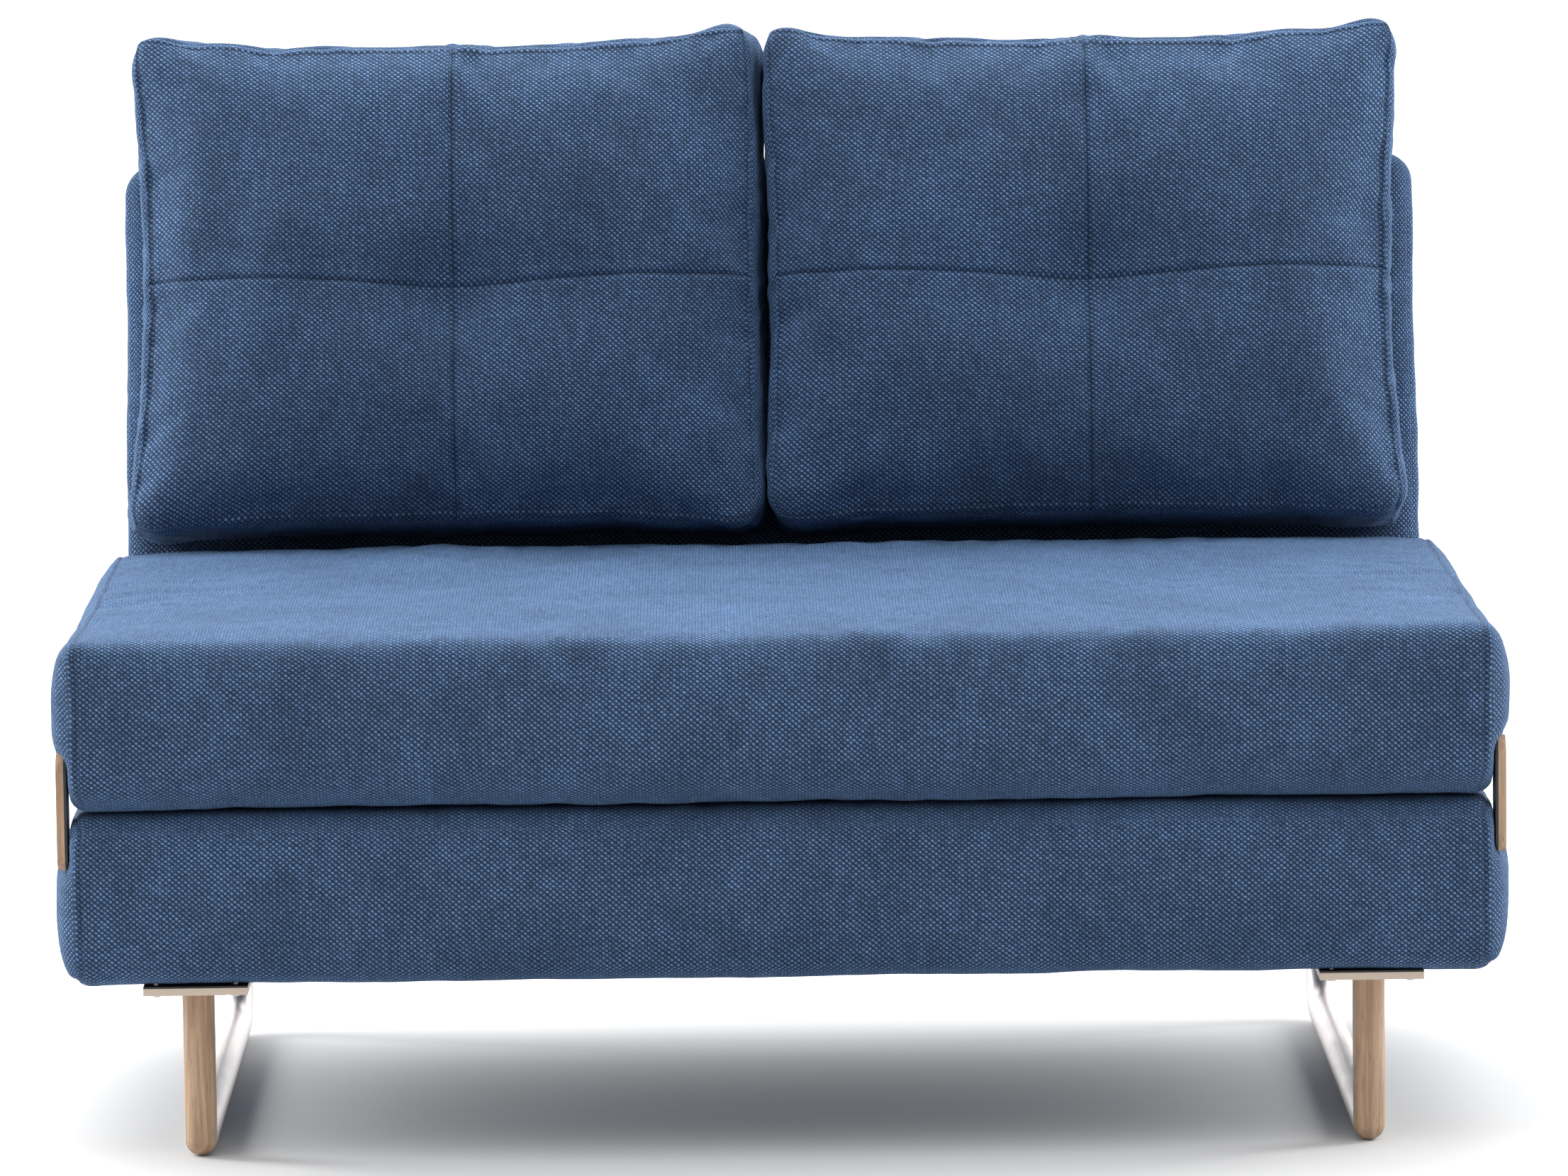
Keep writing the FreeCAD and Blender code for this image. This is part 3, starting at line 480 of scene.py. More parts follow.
def spread(coarse, fine):
    """Weights that carry values on evenly spaced coarse lines smoothly over to the fine lines."""
    step = coarse[1] - coarse[0]
    table = np.zeros((len(fine), len(coarse)))
    last = len(coarse) - 1
    for row, at in enumerate(fine):
        t = min(max((at - coarse[0]) / step, 0.0), last)
        cell = min(int(t), last - 1)
        t -= cell
        cubic = (
            -0.5 * t + t * t - 0.5 * t**3,
            1 - 2.5 * t * t + 1.5 * t**3,
            0.5 * t + 2 * t * t - 1.5 * t**3,
            -0.5 * t * t + 0.5 * t**3,
        )
        for offset, weight in zip((-1, 0, 1, 2), cubic):
            spot = cell + offset
            if spot < 0:
                table[row, 0] += 2 * weight
                table[row, 1] -= weight
            elif spot > last:
                table[row, last] += 2 * weight
                table[row, last - 1] -= weight
            else:
                table[row, spot] += weight
    return table


def rolled(points, half, edge, turn, axes):
    """Box surface points moved to a soft box.

    Every edge is rounded by edge. The corners in the plane of axes turn over the larger turn.
    """
    half = np.asarray(half)
    edge = np.broadcast_to(np.asarray(edge, dtype=float), (len(points),))
    core = np.clip(points, -(half - edge[:, None]), half - edge[:, None])
    radius = np.maximum(turn - edge, 0.0)
    a, b = axes
    way = np.sign(points[:, (a, b)])
    middle = way * (half[[a, b]] - (edge + radius)[:, None])
    over = points[:, (a, b)] - middle
    far = np.linalg.norm(over, axis=1)
    corner = ((over * way) > 0).all(axis=1)
    near = np.where(far > radius, radius / np.maximum(far, 1e-9), 1.0)
    for i, axis in enumerate(axes):
        core[:, axis] = np.where(corner, middle[:, i] + over[:, i] * near, core[:, axis])
    out = points - core
    long = np.linalg.norm(out, axis=1, keepdims=True)
    return core + out / np.maximum(long, 1e-9) * edge[:, None]


def bowed(at, low, middle, high, power=2.0):
    """A smooth run of values over -1 to 1 from low through middle to high."""
    upward = (high - middle) * np.clip(at, 0, 1) ** power
    downward = (low - middle) * np.clip(-at, 0, 1) ** power
    return middle + upward + downward


def peak(gap, wide):
    """1 where the gap is 0, falling smoothly to both sides."""
    return np.exp(-((gap / wide) ** 2))


def step_between(value, low, high):
    """0 below low and 1 above high, with a smooth rise between them."""
    t = np.clip((value - low) / (high - low), 0, 1)
    return t * t * (3 - 2 * t)


def waves(points, seed, wavelength, count=9):
    """A smooth uneven field between about -1 and 1, the same on every run."""
    chance = np.random.default_rng(seed)
    total = np.zeros(len(points))
    for _ in range(count):
        way = chance.normal(size=3)
        way /= np.linalg.norm(way)
        reach = wavelength * chance.uniform(0.7, 1.6)
        total += np.sin(points @ way * 2 * math.pi / reach + chance.uniform(0, 2 * math.pi))
    return total / math.sqrt(count)


def normals(points, quads):
    """Unit normals at the points."""
    total = np.zeros_like(points)
    for four in quads:
        a, b, c, d = (points[four[:, i]] for i in range(4))
        face = np.cross(c - a, d - b)
        for i in range(4):
            np.add.at(total, four[:, i], face)
    return total / np.maximum(np.linalg.norm(total, axis=1, keepdims=True), 1e-12)


def mesh_from(name, points, faces):
    """A new object with that mesh, in the scene."""
    mesh = bpy.data.meshes.new(name)
    mesh.from_pydata(points.tolist(), [], faces)
    mesh.update()
    piece = bpy.data.objects.new(name, mesh)
    bpy.context.scene.collection.objects.link(piece)
    return piece


def swell(name, points, quads, held, most):
    """Swells a closed cover with cloth simulation, and gives how each point moved, by most at the most."""
    scene = bpy.context.scene
    padding = scene.sofa_padding
    cover = mesh_from(name + "_swelling", points, np.concatenate(quads).tolist())
    group = cover.vertex_groups.new(name="held")
    for spot in np.flatnonzero(held > 0.01):
        group.add([int(spot)], float(held[spot]), "REPLACE")
    cloth = cover.modifiers.new("swelling", "CLOTH")
    set_up = cloth.settings
    set_up.quality = 6
    set_up.mass = 0.4
    set_up.tension_stiffness = 18
    set_up.compression_stiffness = 18
    set_up.shear_stiffness = 8
    set_up.bending_stiffness = 0.6
    set_up.air_damping = 2.0
    set_up.use_pressure = True
    set_up.uniform_pressure_force = padding.press
    set_up.shrink_min = -0.012
    set_up.vertex_group_mass = "held"
    set_up.pin_stiffness = 0.6
    set_up.effector_weights.gravity = 0.0
    cloth.collision_settings.use_collision = False
    cloth.point_cache.frame_start = 1
    cloth.point_cache.frame_end = padding.steps
    for step in range(1, padding.steps + 1):
        scene.frame_set(step)
    seen = cover.evaluated_get(bpy.context.evaluated_depsgraph_get())
    moved = np.empty(len(points) * 3)
    seen.data.vertices.foreach_get("co", moved)
    moved = moved.reshape(-1, 3) - points
    mesh = cover.data
    bpy.data.objects.remove(cover)
    bpy.data.meshes.remove(mesh)
    scene.frame_set(1)
    far = np.linalg.norm(moved, axis=1, keepdims=True)
    return moved * (most * np.tanh(far / most) / np.maximum(far, 1e-9))


class Pad:
    """A sewn cover over a filling, drawn about its own centre and then placed."""

    def __init__(self, name, half, shape, step, close, coarse, held, most):
        self.name = name
        self.half = np.asarray(half)
        self.lattice = [lines(h, step, near) for h, near in zip(half, close)]
        rough = [np.linspace(-h, h, max(4, round(2 * h / coarse)) + 1) for h in half]
        points, quads, grids = shell(rough)
        moved = swell(name, shape(points), quads, held(points), most)
        self.flat, self.quads, self.grids = shell(self.lattice)
        formed = shape(self.flat)
        self.points = formed.copy()
        for side, (_, _, across, up) in SIDES.items():
            over = spread(rough[across], self.lattice[across])
            along = spread(rough[up], self.lattice[up])
            field = np.einsum("ia,abk,jb->ijk", over, moved[grids[side]], along)
            self.points[self.grids[side]] = formed[self.grids[side]] + field

    def press(self, depth):
        """Moves every point in or out along its normal."""
        self.points += normals(self.points, self.quads) * depth[:, None]

    def line(self, side, fixed_axis, fixed, reach, pitch, lift):
        """Stitches' middles, directions and normals along a side's lattice line, from -reach to reach."""
        _, _, across, up = SIDES[side]
        grid = self.grids[side]
        if fixed_axis == across:
            spot = int(np.argmin(abs(self.lattice[across] - fixed)))
            track = grid[spot, :]
            run = self.lattice[up]
        else:
            spot = int(np.argmin(abs(self.lattice[up] - fixed)))
            track = grid[:, spot]
            run = self.lattice[across]
        track = track[(run >= -reach - 1e-9) & (run <= reach + 1e-9)]
        out = normals(self.points, self.quads)[track]
        path = self.points[track] + out * lift
        walked = np.concatenate([[0], np.cumsum(np.linalg.norm(np.diff(path, axis=0), axis=1))])

        def along(values, stops):
            return np.stack([np.interp(stops, walked, values[:, i]) for i in range(3)], axis=1)

        stops = np.arange(pitch / 2, walked[-1], pitch)
        spots = along(path, stops)
        ahead = along(path, stops + 0.0005)
        return spots, ahead - spots, along(out, stops)

    def build(self, place, sewn):
        """Makes the mesh with its weave laid over it, side by side, and puts it in place."""
        piece = mesh_from(self.name, self.points, np.concatenate(self.quads).tolist())
        mesh = piece.data
        # The Seam attribute marks where the cloth's material paints shade along the seams.
        mesh.attributes.new("Seam", "FLOAT", "POINT").data.foreach_set("value", np.clip(sewn, 0, 1))
        mesh.uv_layers.new(name="Weave")
        # The weave runs on from the front to the top.
        cut_from = {**CUT_FROM, "top": (0.0, self.half[2] + self.half[1])}
        laid = []
        for four, (side, (_, _, across, up)) in zip(self.quads, SIDES.items()):
            laid.append(self.flat[four.ravel()][:, (across, up)] + cut_from[side])
        mesh.uv_layers["Weave"].data.foreach_set("uv", np.concatenate(laid).ravel())
        mesh.polygons.foreach_set("use_smooth", [True] * len(mesh.polygons))
        mesh.materials.append(woven())
        smooth = piece.modifiers.new("smoothing", "SUBSURF")
        smooth.levels = 1
        smooth.render_levels = 1
        mesh.transform(place)
        return piece


def stitches(name, runs, place):
    """Short rounded stitches laid along seams, all in one mesh."""
    padding = bpy.context.scene.sofa_padding
    half = padding.stitch / 2
    sides = THREAD_SIDES
    ring = [(math.cos(t), math.sin(t)) for t in np.linspace(0, 2 * math.pi, sides, endpoint=False)]
    last = sides * (len(THREAD_PROFILE) - 1)
    points = []
    faces = []
    for spots, ways, outward in runs:
        ways = ways / np.maximum(np.linalg.norm(ways, axis=1, keepdims=True), 1e-12)
        side = np.cross(ways, outward)
        side /= np.maximum(np.linalg.norm(side, axis=1, keepdims=True), 1e-12)
        up = np.cross(side, ways)
        for i in range(len(spots)):
            first = len(points)
            for along, wide in THREAD_PROFILE:
                middle = spots[i] + ways[i] * along * half - up[i] * THREAD_RADIUS * 0.9 * along * along
                for c, s in ring:
                    points.append(middle + (side[i] * c + up[i] * s) * THREAD_RADIUS * wide)
            for row in range(first, first + last, sides):
                for k in range(sides):
                    a = row + k
                    b = row + (k + 1) % sides
                    faces.append((a, b, b + sides, a + sides))
            faces.append(tuple(first + k for k in reversed(range(sides))))
            faces.append(tuple(first + last + k for k in range(sides)))
    piece = mesh_from(name, np.array(points), faces)
    piece.data.polygons.foreach_set("use_smooth", [True] * len(piece.data.polygons))
    piece.data.materials.append(threads())
    piece.data.transform(place)
    return piece


def groove(gap, wide, depth):
    """The profile of a sewn seam: a narrow dip between two soft shoulders."""
    return -depth * peak(gap, wide) + 0.35 * depth * peak(np.abs(gap) - 3 * wide, 2 * wide)


def settle(piece, body, slot, fill, *nodes):
    """Makes a padded piece ride on its body and stand for its CAD nodes."""
    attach(piece, body)
    if nodes:
        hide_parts(*nodes)


# ---------------------------------------------------------------- mattress sections

END_SEAM = 0.011  # seam between the long cover and its end panels, in from the end
SEAM_ROUND = 0.0295  # the front edges roll over this beside the seam between the sections
EDGE_ROUND = 0.011  # the edges' rounding at mid-height
EDGE_MORE = 0.009  # and how much more it is at the seam between the sections and at the lower base
TOP_RISE = 0.0045  # how far the seat's top rises from its front edge to its middle
TOP_LOW = 0.0015  # how far below its full height that front edge is
FACE_BULGE = 0.003  # how far the front and rear stand out
END_BULGE = 0.012  # how far the end panels stand out
LINK_GAP = 0.0008  # between an end panel and the link that lies on it
LINK_NEAR = (0.02, 0.04)  # flat this near to a link's line, and free past that
LINK_RISE = (0.012, 0.026)  # free this near to the section's mid-height, and flat past that
SEAT_GAP = 0.0002  # how far the sections press over their common face
BASE_BORDER = 0.03  # the lower base is flat from this far inside its edges


def section(name, node, body, seam_up, seed):
    """One mattress section: a long cover round its front, top, rear and base, between two end panels."""
    low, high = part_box(node)
    middle = [(a + b) / 2 for a, b in zip(low, high)]
    half = [(b - a) / 2 for a, b in zip(low, high)]
    padding = bpy.context.scene.sofa_padding
    hx, hy, hz = half
    seam = hx - END_SEAM
    flip = 1.0 if seam_up else -1.0

    def shape(points):
        rise = points[:, 2] / hz * flip
        edge = EDGE_ROUND + EDGE_MORE * np.clip(np.abs(rise) if seam_up else rise, 0, 1) ** 2
        turn = np.where((points[:, 1] < 0) & (rise > 0), SEAM_ROUND, edge)
        form = rolled(points, half, edge, turn, (1, 2))
        u, v, w = (points[:, i] / half[i] for i in range(3))
        if not seam_up:
            level = np.clip(1 - u**8, 0, 1) * np.clip(1 - np.clip(v, 0, 1) ** 8, 0, 1)
            form[:, 2] += step_between(w, 0.5, 1) * (TOP_RISE * (1 + v) * level - TOP_LOW)
        face = np.clip(1 - u**8, 0, 1) * np.clip(1 - w**2, 0, 1)
        form[:, 1] += np.where(np.abs(v) > 0.99, np.sign(v) * FACE_BULGE, 0) * face
        ends = np.clip(1 - v**12, 0, 1) * np.clip(1 - w**4, 0, 1) * (1 - step_between(rise, 0.1, 0.8))
        form[:, 0] += np.where(np.abs(u) > 0.99, np.sign(u) * END_BULGE, 0) * ends
        return form

    def held(points):
        """The seam side lies flat on its neighbour, and the lower section's base on its plates."""
        away = 0.9 if seam_up else 0.35
        rise = points[:, 2] * flip
        return np.where(rise > hz * 0.98, 0.5, np.where(rise < -hz * 0.98, away, 0.0))

    close = (((-seam, SEAM_GAPS), (seam, SEAM_GAPS)), (), ())
    pad = Pad(name, half, shape, FINE_STEP, close, COARSE_STEP, held, padding.section_swell)
    flat = pad.flat
    on_end = np.abs(flat[:, 0]) > hx - NEARLY
    gap = np.abs(flat[:, 0]) - seam
    dip = np.where(on_end, 0.0, groove(gap, SEAM_WIDE, padding.seam_depth))
    near = np.where(on_end, 0.0, np.exp(-np.abs(gap) / PUCKER_REACH))
    pucker = waves(flat, seed, 0.028) * 0.0007 * near
    soft = waves(flat, seed + 1, 0.16) * 0.0011 + waves(flat, seed + 2, 0.06) * 0.0004
    pad.press(dip + pucker + soft)
    # The links lie against the ends, beside the seam.
    x, y, z = pad.points.T
    in_line = 1 - step_between(np.abs(y + hy - SEAM_ROUND), *LINK_NEAR)
    by_link = in_line * step_between(z * flip, *LINK_RISE)
    room = hx - LINK_GAP + (1 - by_link) * 0.03
    pad.points[:, 0] = np.clip(x, -room, room)
    # The other section lies against the seam side.
    pad.points[:, 2] = np.where(z * flip > hz + SEAT_GAP, flip * (hz + SEAT_GAP), z)
    if seam_up:
        # The plates and runners carry the base.
        on_base = flat[:, 2] < -hz + NEARLY
        pad.points[on_base, 2] = np.clip(pad.points[on_base, 2], -hz - SEAT_GAP, -hz + 0.02)
        inside = on_base & (np.abs(flat[:, 0]) < hx - BASE_BORDER) & (np.abs(flat[:, 1]) < hy - BASE_BORDER)
        pad.points[inside, 2] = -hz
    place = Matrix.Translation(middle)
    # Painted shade along both end seams, carried by the Seam attribute.
    piece = pad.build(place, np.where(on_end, 0.0, peak(gap, SEAM_SHADE)))
    settle(piece, body, "cover_cloth", 0.9, node)
    runs = []
    for at in (-seam, seam):
        for side in ("front", "top", "rear", "base"):
            _, _, across, up = SIDES[side]
            runs.append(pad.line(side, across, at, half[up], padding.stitch_pitch, STITCH_LIFT))
    thread = stitches(name + "_stitching", runs, place)
    settle(thread, body, "cover_cloth", None)


class SOFA_OT_lower_section(bpy.types.Operator):
    """Pad the lower mattress section"""

    bl_idname = "sofa.lower_section"
    bl_label = "Lower section"

    def execute(self, context):
        section("lower_section_pad", "lower_cover", "base", True, 11)
        return {"FINISHED"}


class SOFA_OT_seat_section(bpy.types.Operator):
    """Pad the upper mattress section, which is the seat"""

    bl_idname = "sofa.seat_section"
    bl_label = "Seat section"

    def execute(self, context):
        section("seat_section_pad", "seat_cover", "seat", False, 23)
        return {"FINISHED"}


# ---------------------------------------------------------------- back

BACK_TURN = next(joint for joint in frame["joints"] if joint["name"] == "back_recline")
RECLINE = math.radians(90 - BACK_TURN["range_deg"][1])
BACK_FRAME = Matrix.Translation(BACK_TURN["pos_m"]) @ Matrix.Rotation(-RECLINE, 4, "X")


def extent_in_back(node):
    """Lowest and highest corner of a CAD node in the back's frame: x across, -y its front, z up it."""
    turn = np.array(BACK_FRAME.inverted())
    mesh = NODES[node].data
    spots = np.empty(len(mesh.vertices) * 3)
    mesh.vertices.foreach_get("co", spots)
    spots = spots.reshape(-1, 3) @ turn[:3, :3].T + turn[:3, 3]
    return spots.min(axis=0), spots.max(axis=0)


BACK_EDGE = 0.012  # rounding of the panel's edges, and its rim seams' distance from its faces
BACK_TOP_TURN = 0.026  # how the panel's top corners turn
BACK_FOOT_TURN = 0.014  # and its lower ones


class SOFA_OT_back(bpy.types.Operator):
    """Pad the reclining back"""

    bl_idname = "sofa.back"
    bl_label = "Back"

    def execute(self, context):
        low, high = extent_in_back("back_cover")
        half = (high - low) / 2
        padding = context.scene.sofa_padding
        hx, hy, hz = half
        rim_seams = (-(hy - BACK_EDGE), hy - BACK_EDGE)

        def shape(points):
            turn = np.where(points[:, 2] > 0, BACK_TOP_TURN, BACK_FOOT_TURN)
            form = rolled(points, half, BACK_EDGE, turn, (0, 2))
            u, v, w = (points[:, i] / half[i] for i in range(3))
            face = np.clip(1 - u**6, 0, 1) * np.clip(1 - w**4, 0, 1)
            form[:, 1] += np.where(v < -0.99, -0.003, np.where(v > 0.99, 0.001, 0)) * face
            ends = np.clip(1 - v**4, 0, 1) * np.clip(1 - w**8, 0, 1)
            form[:, 0] += np.where(np.abs(u) > 0.99, np.sign(u) * 0.003, 0) * ends
            return form

        def held(points):
            return np.where(points[:, 1] > hy * 0.98, 0.6, 0.0)

        close = ((), tuple((at, SEAM_GAPS) for at in rim_seams), ())
        pad = Pad("back_pad", half, shape, FINE_STEP, close, COARSE_STEP, held, padding.section_swell)
        flat = pad.flat
        rim = np.abs(flat[:, 1]) < hy - NEARLY
        dip = np.zeros(len(flat))
        near = np.zeros(len(flat))
        # sewn marks the painted shade along the rim seams, for the Seam attribute.
        sewn = np.zeros(len(flat))
        for at in rim_seams:
            gap = flat[:, 1] - at
            dip += np.where(rim, groove(gap, SEAM_WIDE, padding.seam_depth), 0)
            near += np.where(rim, np.exp(-np.abs(gap) / PUCKER_REACH), 0)
            sewn += np.where(rim, peak(gap, SEAM_SHADE), 0)
        soft = waves(flat, 32, 0.18) * 0.001 + waves(flat, 33, 0.03) * 0.0006 * near
        pad.press(dip + soft)
        place = BACK_FRAME @ Matrix.Translation((low + high) / 2)
        piece = pad.build(place, sewn)
        settle(piece, "back", "cover_cloth", 0.9, "back_cover")
        runs = []
        for at in rim_seams:
            for side, reach in (("left", hz), ("right", hz), ("top", hx), ("base", hx)):
                runs.append(pad.line(side, 1, at, reach, padding.stitch_pitch, STITCH_LIFT))
        thread = stitches("back_stitching", runs, place)
        settle(thread, "back", "cover_cloth", None)
        return {"FINISHED"}


# ---------------------------------------------------------------- cushions

CUSHION_EDGE = 0.011  # rounding of the edges
CUSHION_TURN = 0.032  # how the corners of the front turn
CUSHION_RIM = 0.0065  # from the edge to the topstitching
CROSS_WIDE = 0.0015  # half-width of the cross seams' dip
CROSS_DEPTH = (0.0024, 0.002)  # of the upright seam and the level one
LEVEL_LIFT = 0.004  # how far over the middle the level seam starts at the sides
LEVEL_SAG = 0.009  # and how far it sags from there
PULL_DEPTH = 0.0034  # how far the cloth is drawn in along the cross seams
DIMPLE_DEPTH = 0.009  # and where they cross
OUTLINES = {  # how far each side stands out: at its low or left end, its middle, its high or right end
    "left": {
        "left": (0.015, -0.003, 0.007),
        "right": (-0.010, -0.012, -0.012),
        "top": (0.009, -0.004, 0.015),
        "foot": (0.002, -0.006, 0.002),
    },
    "right": {
        "left": (0.008, 0.003, 0.008),
        "right": (0.002, -0.010, 0.000),
        "top": (0.011, -0.004, 0.014),
        "foot": (0.002, -0.006, 0.002),
    },
}


class SOFA_OT_cushions(bpy.types.Operator):
    """Fill and sew the two loose cushions"""

    bl_idname = "sofa.cushions"
    bl_label = "Cushions"

    def execute(self, context):
        for word, side in (("left", -1), ("right", 1)):
            self.cushion(context, word, side)
        return {"FINISHED"}

    def cushion(self, context, word, side):
        """A boxed cushion: a cross-seamed front, corners that stand out and sides that pull in."""
        low, high = extent_in_back(f"cushion_cover_{word}")
        half = (high - low) / 2
        padding = context.scene.sofa_padding
        hx, hy, hz = half
        lean = OUTLINES[word]

        def shape(points):
            u, v, w = (points[:, i] / half[i] for i in range(3))
            form = rolled(points, half, CUSHION_EDGE, CUSHION_TURN, (0, 2))
            out_x = np.where(u > 0, bowed(w, *lean["right"]), -bowed(w, *lean["left"]))
            out_z = np.where(w > 0, bowed(u, *lean["top"], 3.0), -bowed(u, *lean["foot"], 4.0))
            inner = np.where(u * side < 0, 0.5 - 0.5 * v, 1.0)
            form[:, 0] += np.abs(u) ** 2 * out_x * inner
            form[:, 2] += np.abs(w) ** 2 * out_z
            # Thin at the rim, full in the middle, a little fuller along the foot.
            crown = np.clip(1 - np.abs(u) ** 2.6, 0, 1) * np.clip(1 - np.abs(w) ** 2.6, 0, 1)
            thin = 0.7 + 0.3 * crown**0.55 + 0.06 * np.clip(-w, 0, 1) ** 2 * (1 - crown)
            form[:, 1] = hy - (hy - form[:, 1]) * thin
            # The level seam of the cross sags in its middle.
            within = np.clip(1 - w**2, 0, 1) * (v < -0.98)
            form[:, 2] += (LEVEL_LIFT - LEVEL_SAG * peak(points[:, 0], 0.11) * within) * within
            return form

        def held(points):
            x, y, z = points.T
            v = y / hy
            behind = np.where(v > 0.98, 0.85, 0.0)
            centre = np.where(v < -0.98, np.exp(-((x / 0.02) ** 2 + (z / 0.02) ** 2)), 0.0)
            cross = np.where(v < -0.98, 0.22 * np.maximum(peak(x, 0.006), peak(z, 0.006)), 0.0)
            boxing = np.where(np.abs(v) < 0.98, 0.45, 0.0)
            return np.clip(behind + 0.9 * centre + cross + boxing, 0, 1)

        wide = hx - CUSHION_RIM
        tall = hz - CUSHION_RIM
        close = (
            ((0.0, SEAM_GAPS), (-wide, TOPSTITCH_GAPS), (wide, TOPSTITCH_GAPS)),
            ((-hy + 0.004, (0.0015,)),),
            ((0.0, SEAM_GAPS), (-tall, TOPSTITCH_GAPS), (tall, TOPSTITCH_GAPS)),
        )
        name = f"cushion_{word}"
        step, coarse = FINE_STEP_CUSHION, COARSE_STEP_CUSHION
        pad = Pad(name + "_pad", half, shape, step, close, coarse, held, padding.cushion_swell)
        flat = pad.flat
        on_front = flat[:, 1] < -hy + NEARLY
        on_rear = flat[:, 1] > hy - NEARLY
        x, z = flat[:, 0], flat[:, 2]
        edge = np.minimum(hx - np.abs(x), hz - np.abs(z))
        cross = groove(x, CROSS_WIDE, CROSS_DEPTH[0]) + groove(z, CROSS_WIDE, CROSS_DEPTH[1])
        rim = edge - CUSHION_RIM
        topstitch = -0.0012 * peak(rim, SEAM_SHADE) + 0.0009 * peak(edge - CUSHION_RIM / 2, 0.003)
        dip = np.where(on_front, cross + topstitch, np.where(on_rear, topstitch, 0.0))
        near = np.exp(-np.abs(rim) / 0.018) * (on_front | on_rear)
        near_cross = np.maximum(np.exp(-np.abs(x) / 0.022), np.exp(-np.abs(z) / 0.022)) * on_front
        pucker = waves(flat, 41 + side, 0.026) * 0.0009 * near
        pucker += waves(flat, 45 + side, 0.03) * 0.0007 * near_cross
        inside = np.clip(edge / 0.09, 0, 1) * on_front
        dimple = -DIMPLE_DEPTH * np.exp(-((x / 0.045) ** 2 + (z / 0.045) ** 2)) * on_front
        pull = -PULL_DEPTH * (peak(x, 0.04) + peak(z, 0.04)) * inside
        corner = np.clip(np.abs(x) / hx, 0, 1) ** 5 * np.clip(np.abs(z) / hz, 0, 1) ** 5
        soft = waves(flat, 51 + side, 0.13) * 0.0011
        soft += waves(flat, 55 + side, 0.05) * (0.0006 + 0.0022 * corner)
        pad.press(dip + pucker + dimple + pull + soft)
        place = BACK_FRAME @ Matrix.Translation((low + high) / 2)
        # sewn marks the painted shade in the cross seams and, fainter, along the topstitching, for the Seam
        # attribute.
        sewn = np.maximum(peak(x, SEAM_SHADE), peak(z, SEAM_SHADE)) * on_front
        sewn = np.maximum(sewn, 0.6 * peak(rim, SEAM_SHADE) * (on_front | on_rear))
        piece = pad.build(place, sewn)
        settle(piece, name, "cover_cloth", 0.75, f"cushion_cover_{word}", f"cushion_filling_{word}")
        runs = []
        for face in ("front", "rear"):
            for axis, at, reach in ((0, wide, tall), (0, -wide, tall), (2, tall, wide), (2, -tall, wide)):
                runs.append(pad.line(face, axis, at, reach, padding.stitch_pitch, STITCH_LIFT / 2))
        thread = stitches(name + "_stitching", runs, place)
        settle(thread, name, "cover_cloth", None)


# ---------------------------------------------------------------- joinery and metalwork


class SOFA_OT_joinery(bpy.types.Operator):
    """Finish the oak legs and links, and the hidden timber"""

    bl_idname = "sofa.joinery"
    bl_label = "Joinery"

    def execute(self, context):
        wood = context.scene.sofa_wood
        upright = oak_material("oak_upright", wood, 2)
        level = oak_material("oak_level", wood, 0)
        pine = pine_material(wood)
        for node, slot in SLOT_OF.items():
            if slot == "oak":
                dress(node, level if node.startswith("swing") else upright, 0.0009)
            elif slot == "pine":
                dress(node, pine)
        return {"FINISHED"}


class SOFA_OT_metalwork(bpy.types.Operator):
    """Finish the runners, plates, links' straps and fastenings, and the foam inside"""

    bl_idname = "sofa.metalwork"
    bl_label = "Metalwork and fillings"

    def execute(self, context):
        metal = context.scene.sofa_metal
        finishes = {
            "satin_steel": metal_material("satin_steel", metal.steel, 1.0, 0.46, 0.06, (700.0, 60.0, 700.0)),
            "black_steel": metal_material("black_enamel", metal.black, 0.0, 0.42, 0.3),
            "plate_paint": metal_material("plate_paint", metal.plate, 0.0, 0.45, 0.08),
            "zinc": metal_material("zinc", metal.zinc, 1.0, 0.35, 0.15),
            "bush_plastic": rubber_material("bush_plastic", (0.03, 0.03, 0.03)),
            "gasket_black": rubber_material("gasket_rubber", (0.018, 0.018, 0.018)),
            "foam": foam_material("foam", (0.8, 0.76, 0.62)),
            "filling": foam_material("fibre_filling", (0.86, 0.86, 0.84)),
        }
        for node, slot in SLOT_OF.items():
            if slot in finishes:
                eased = 0.0006 if slot in ("plate_paint", "black_steel") and "bolt" not in node else 0.0
                dress(node, finishes[slot], eased)
        return {"FINISHED"}


# ---------------------------------------------------------------- studio

FLOOR_REACH = 40.0  # from the middle to the floor's edge
FLOOR_GAP = 0.0003  # under the legs and runners


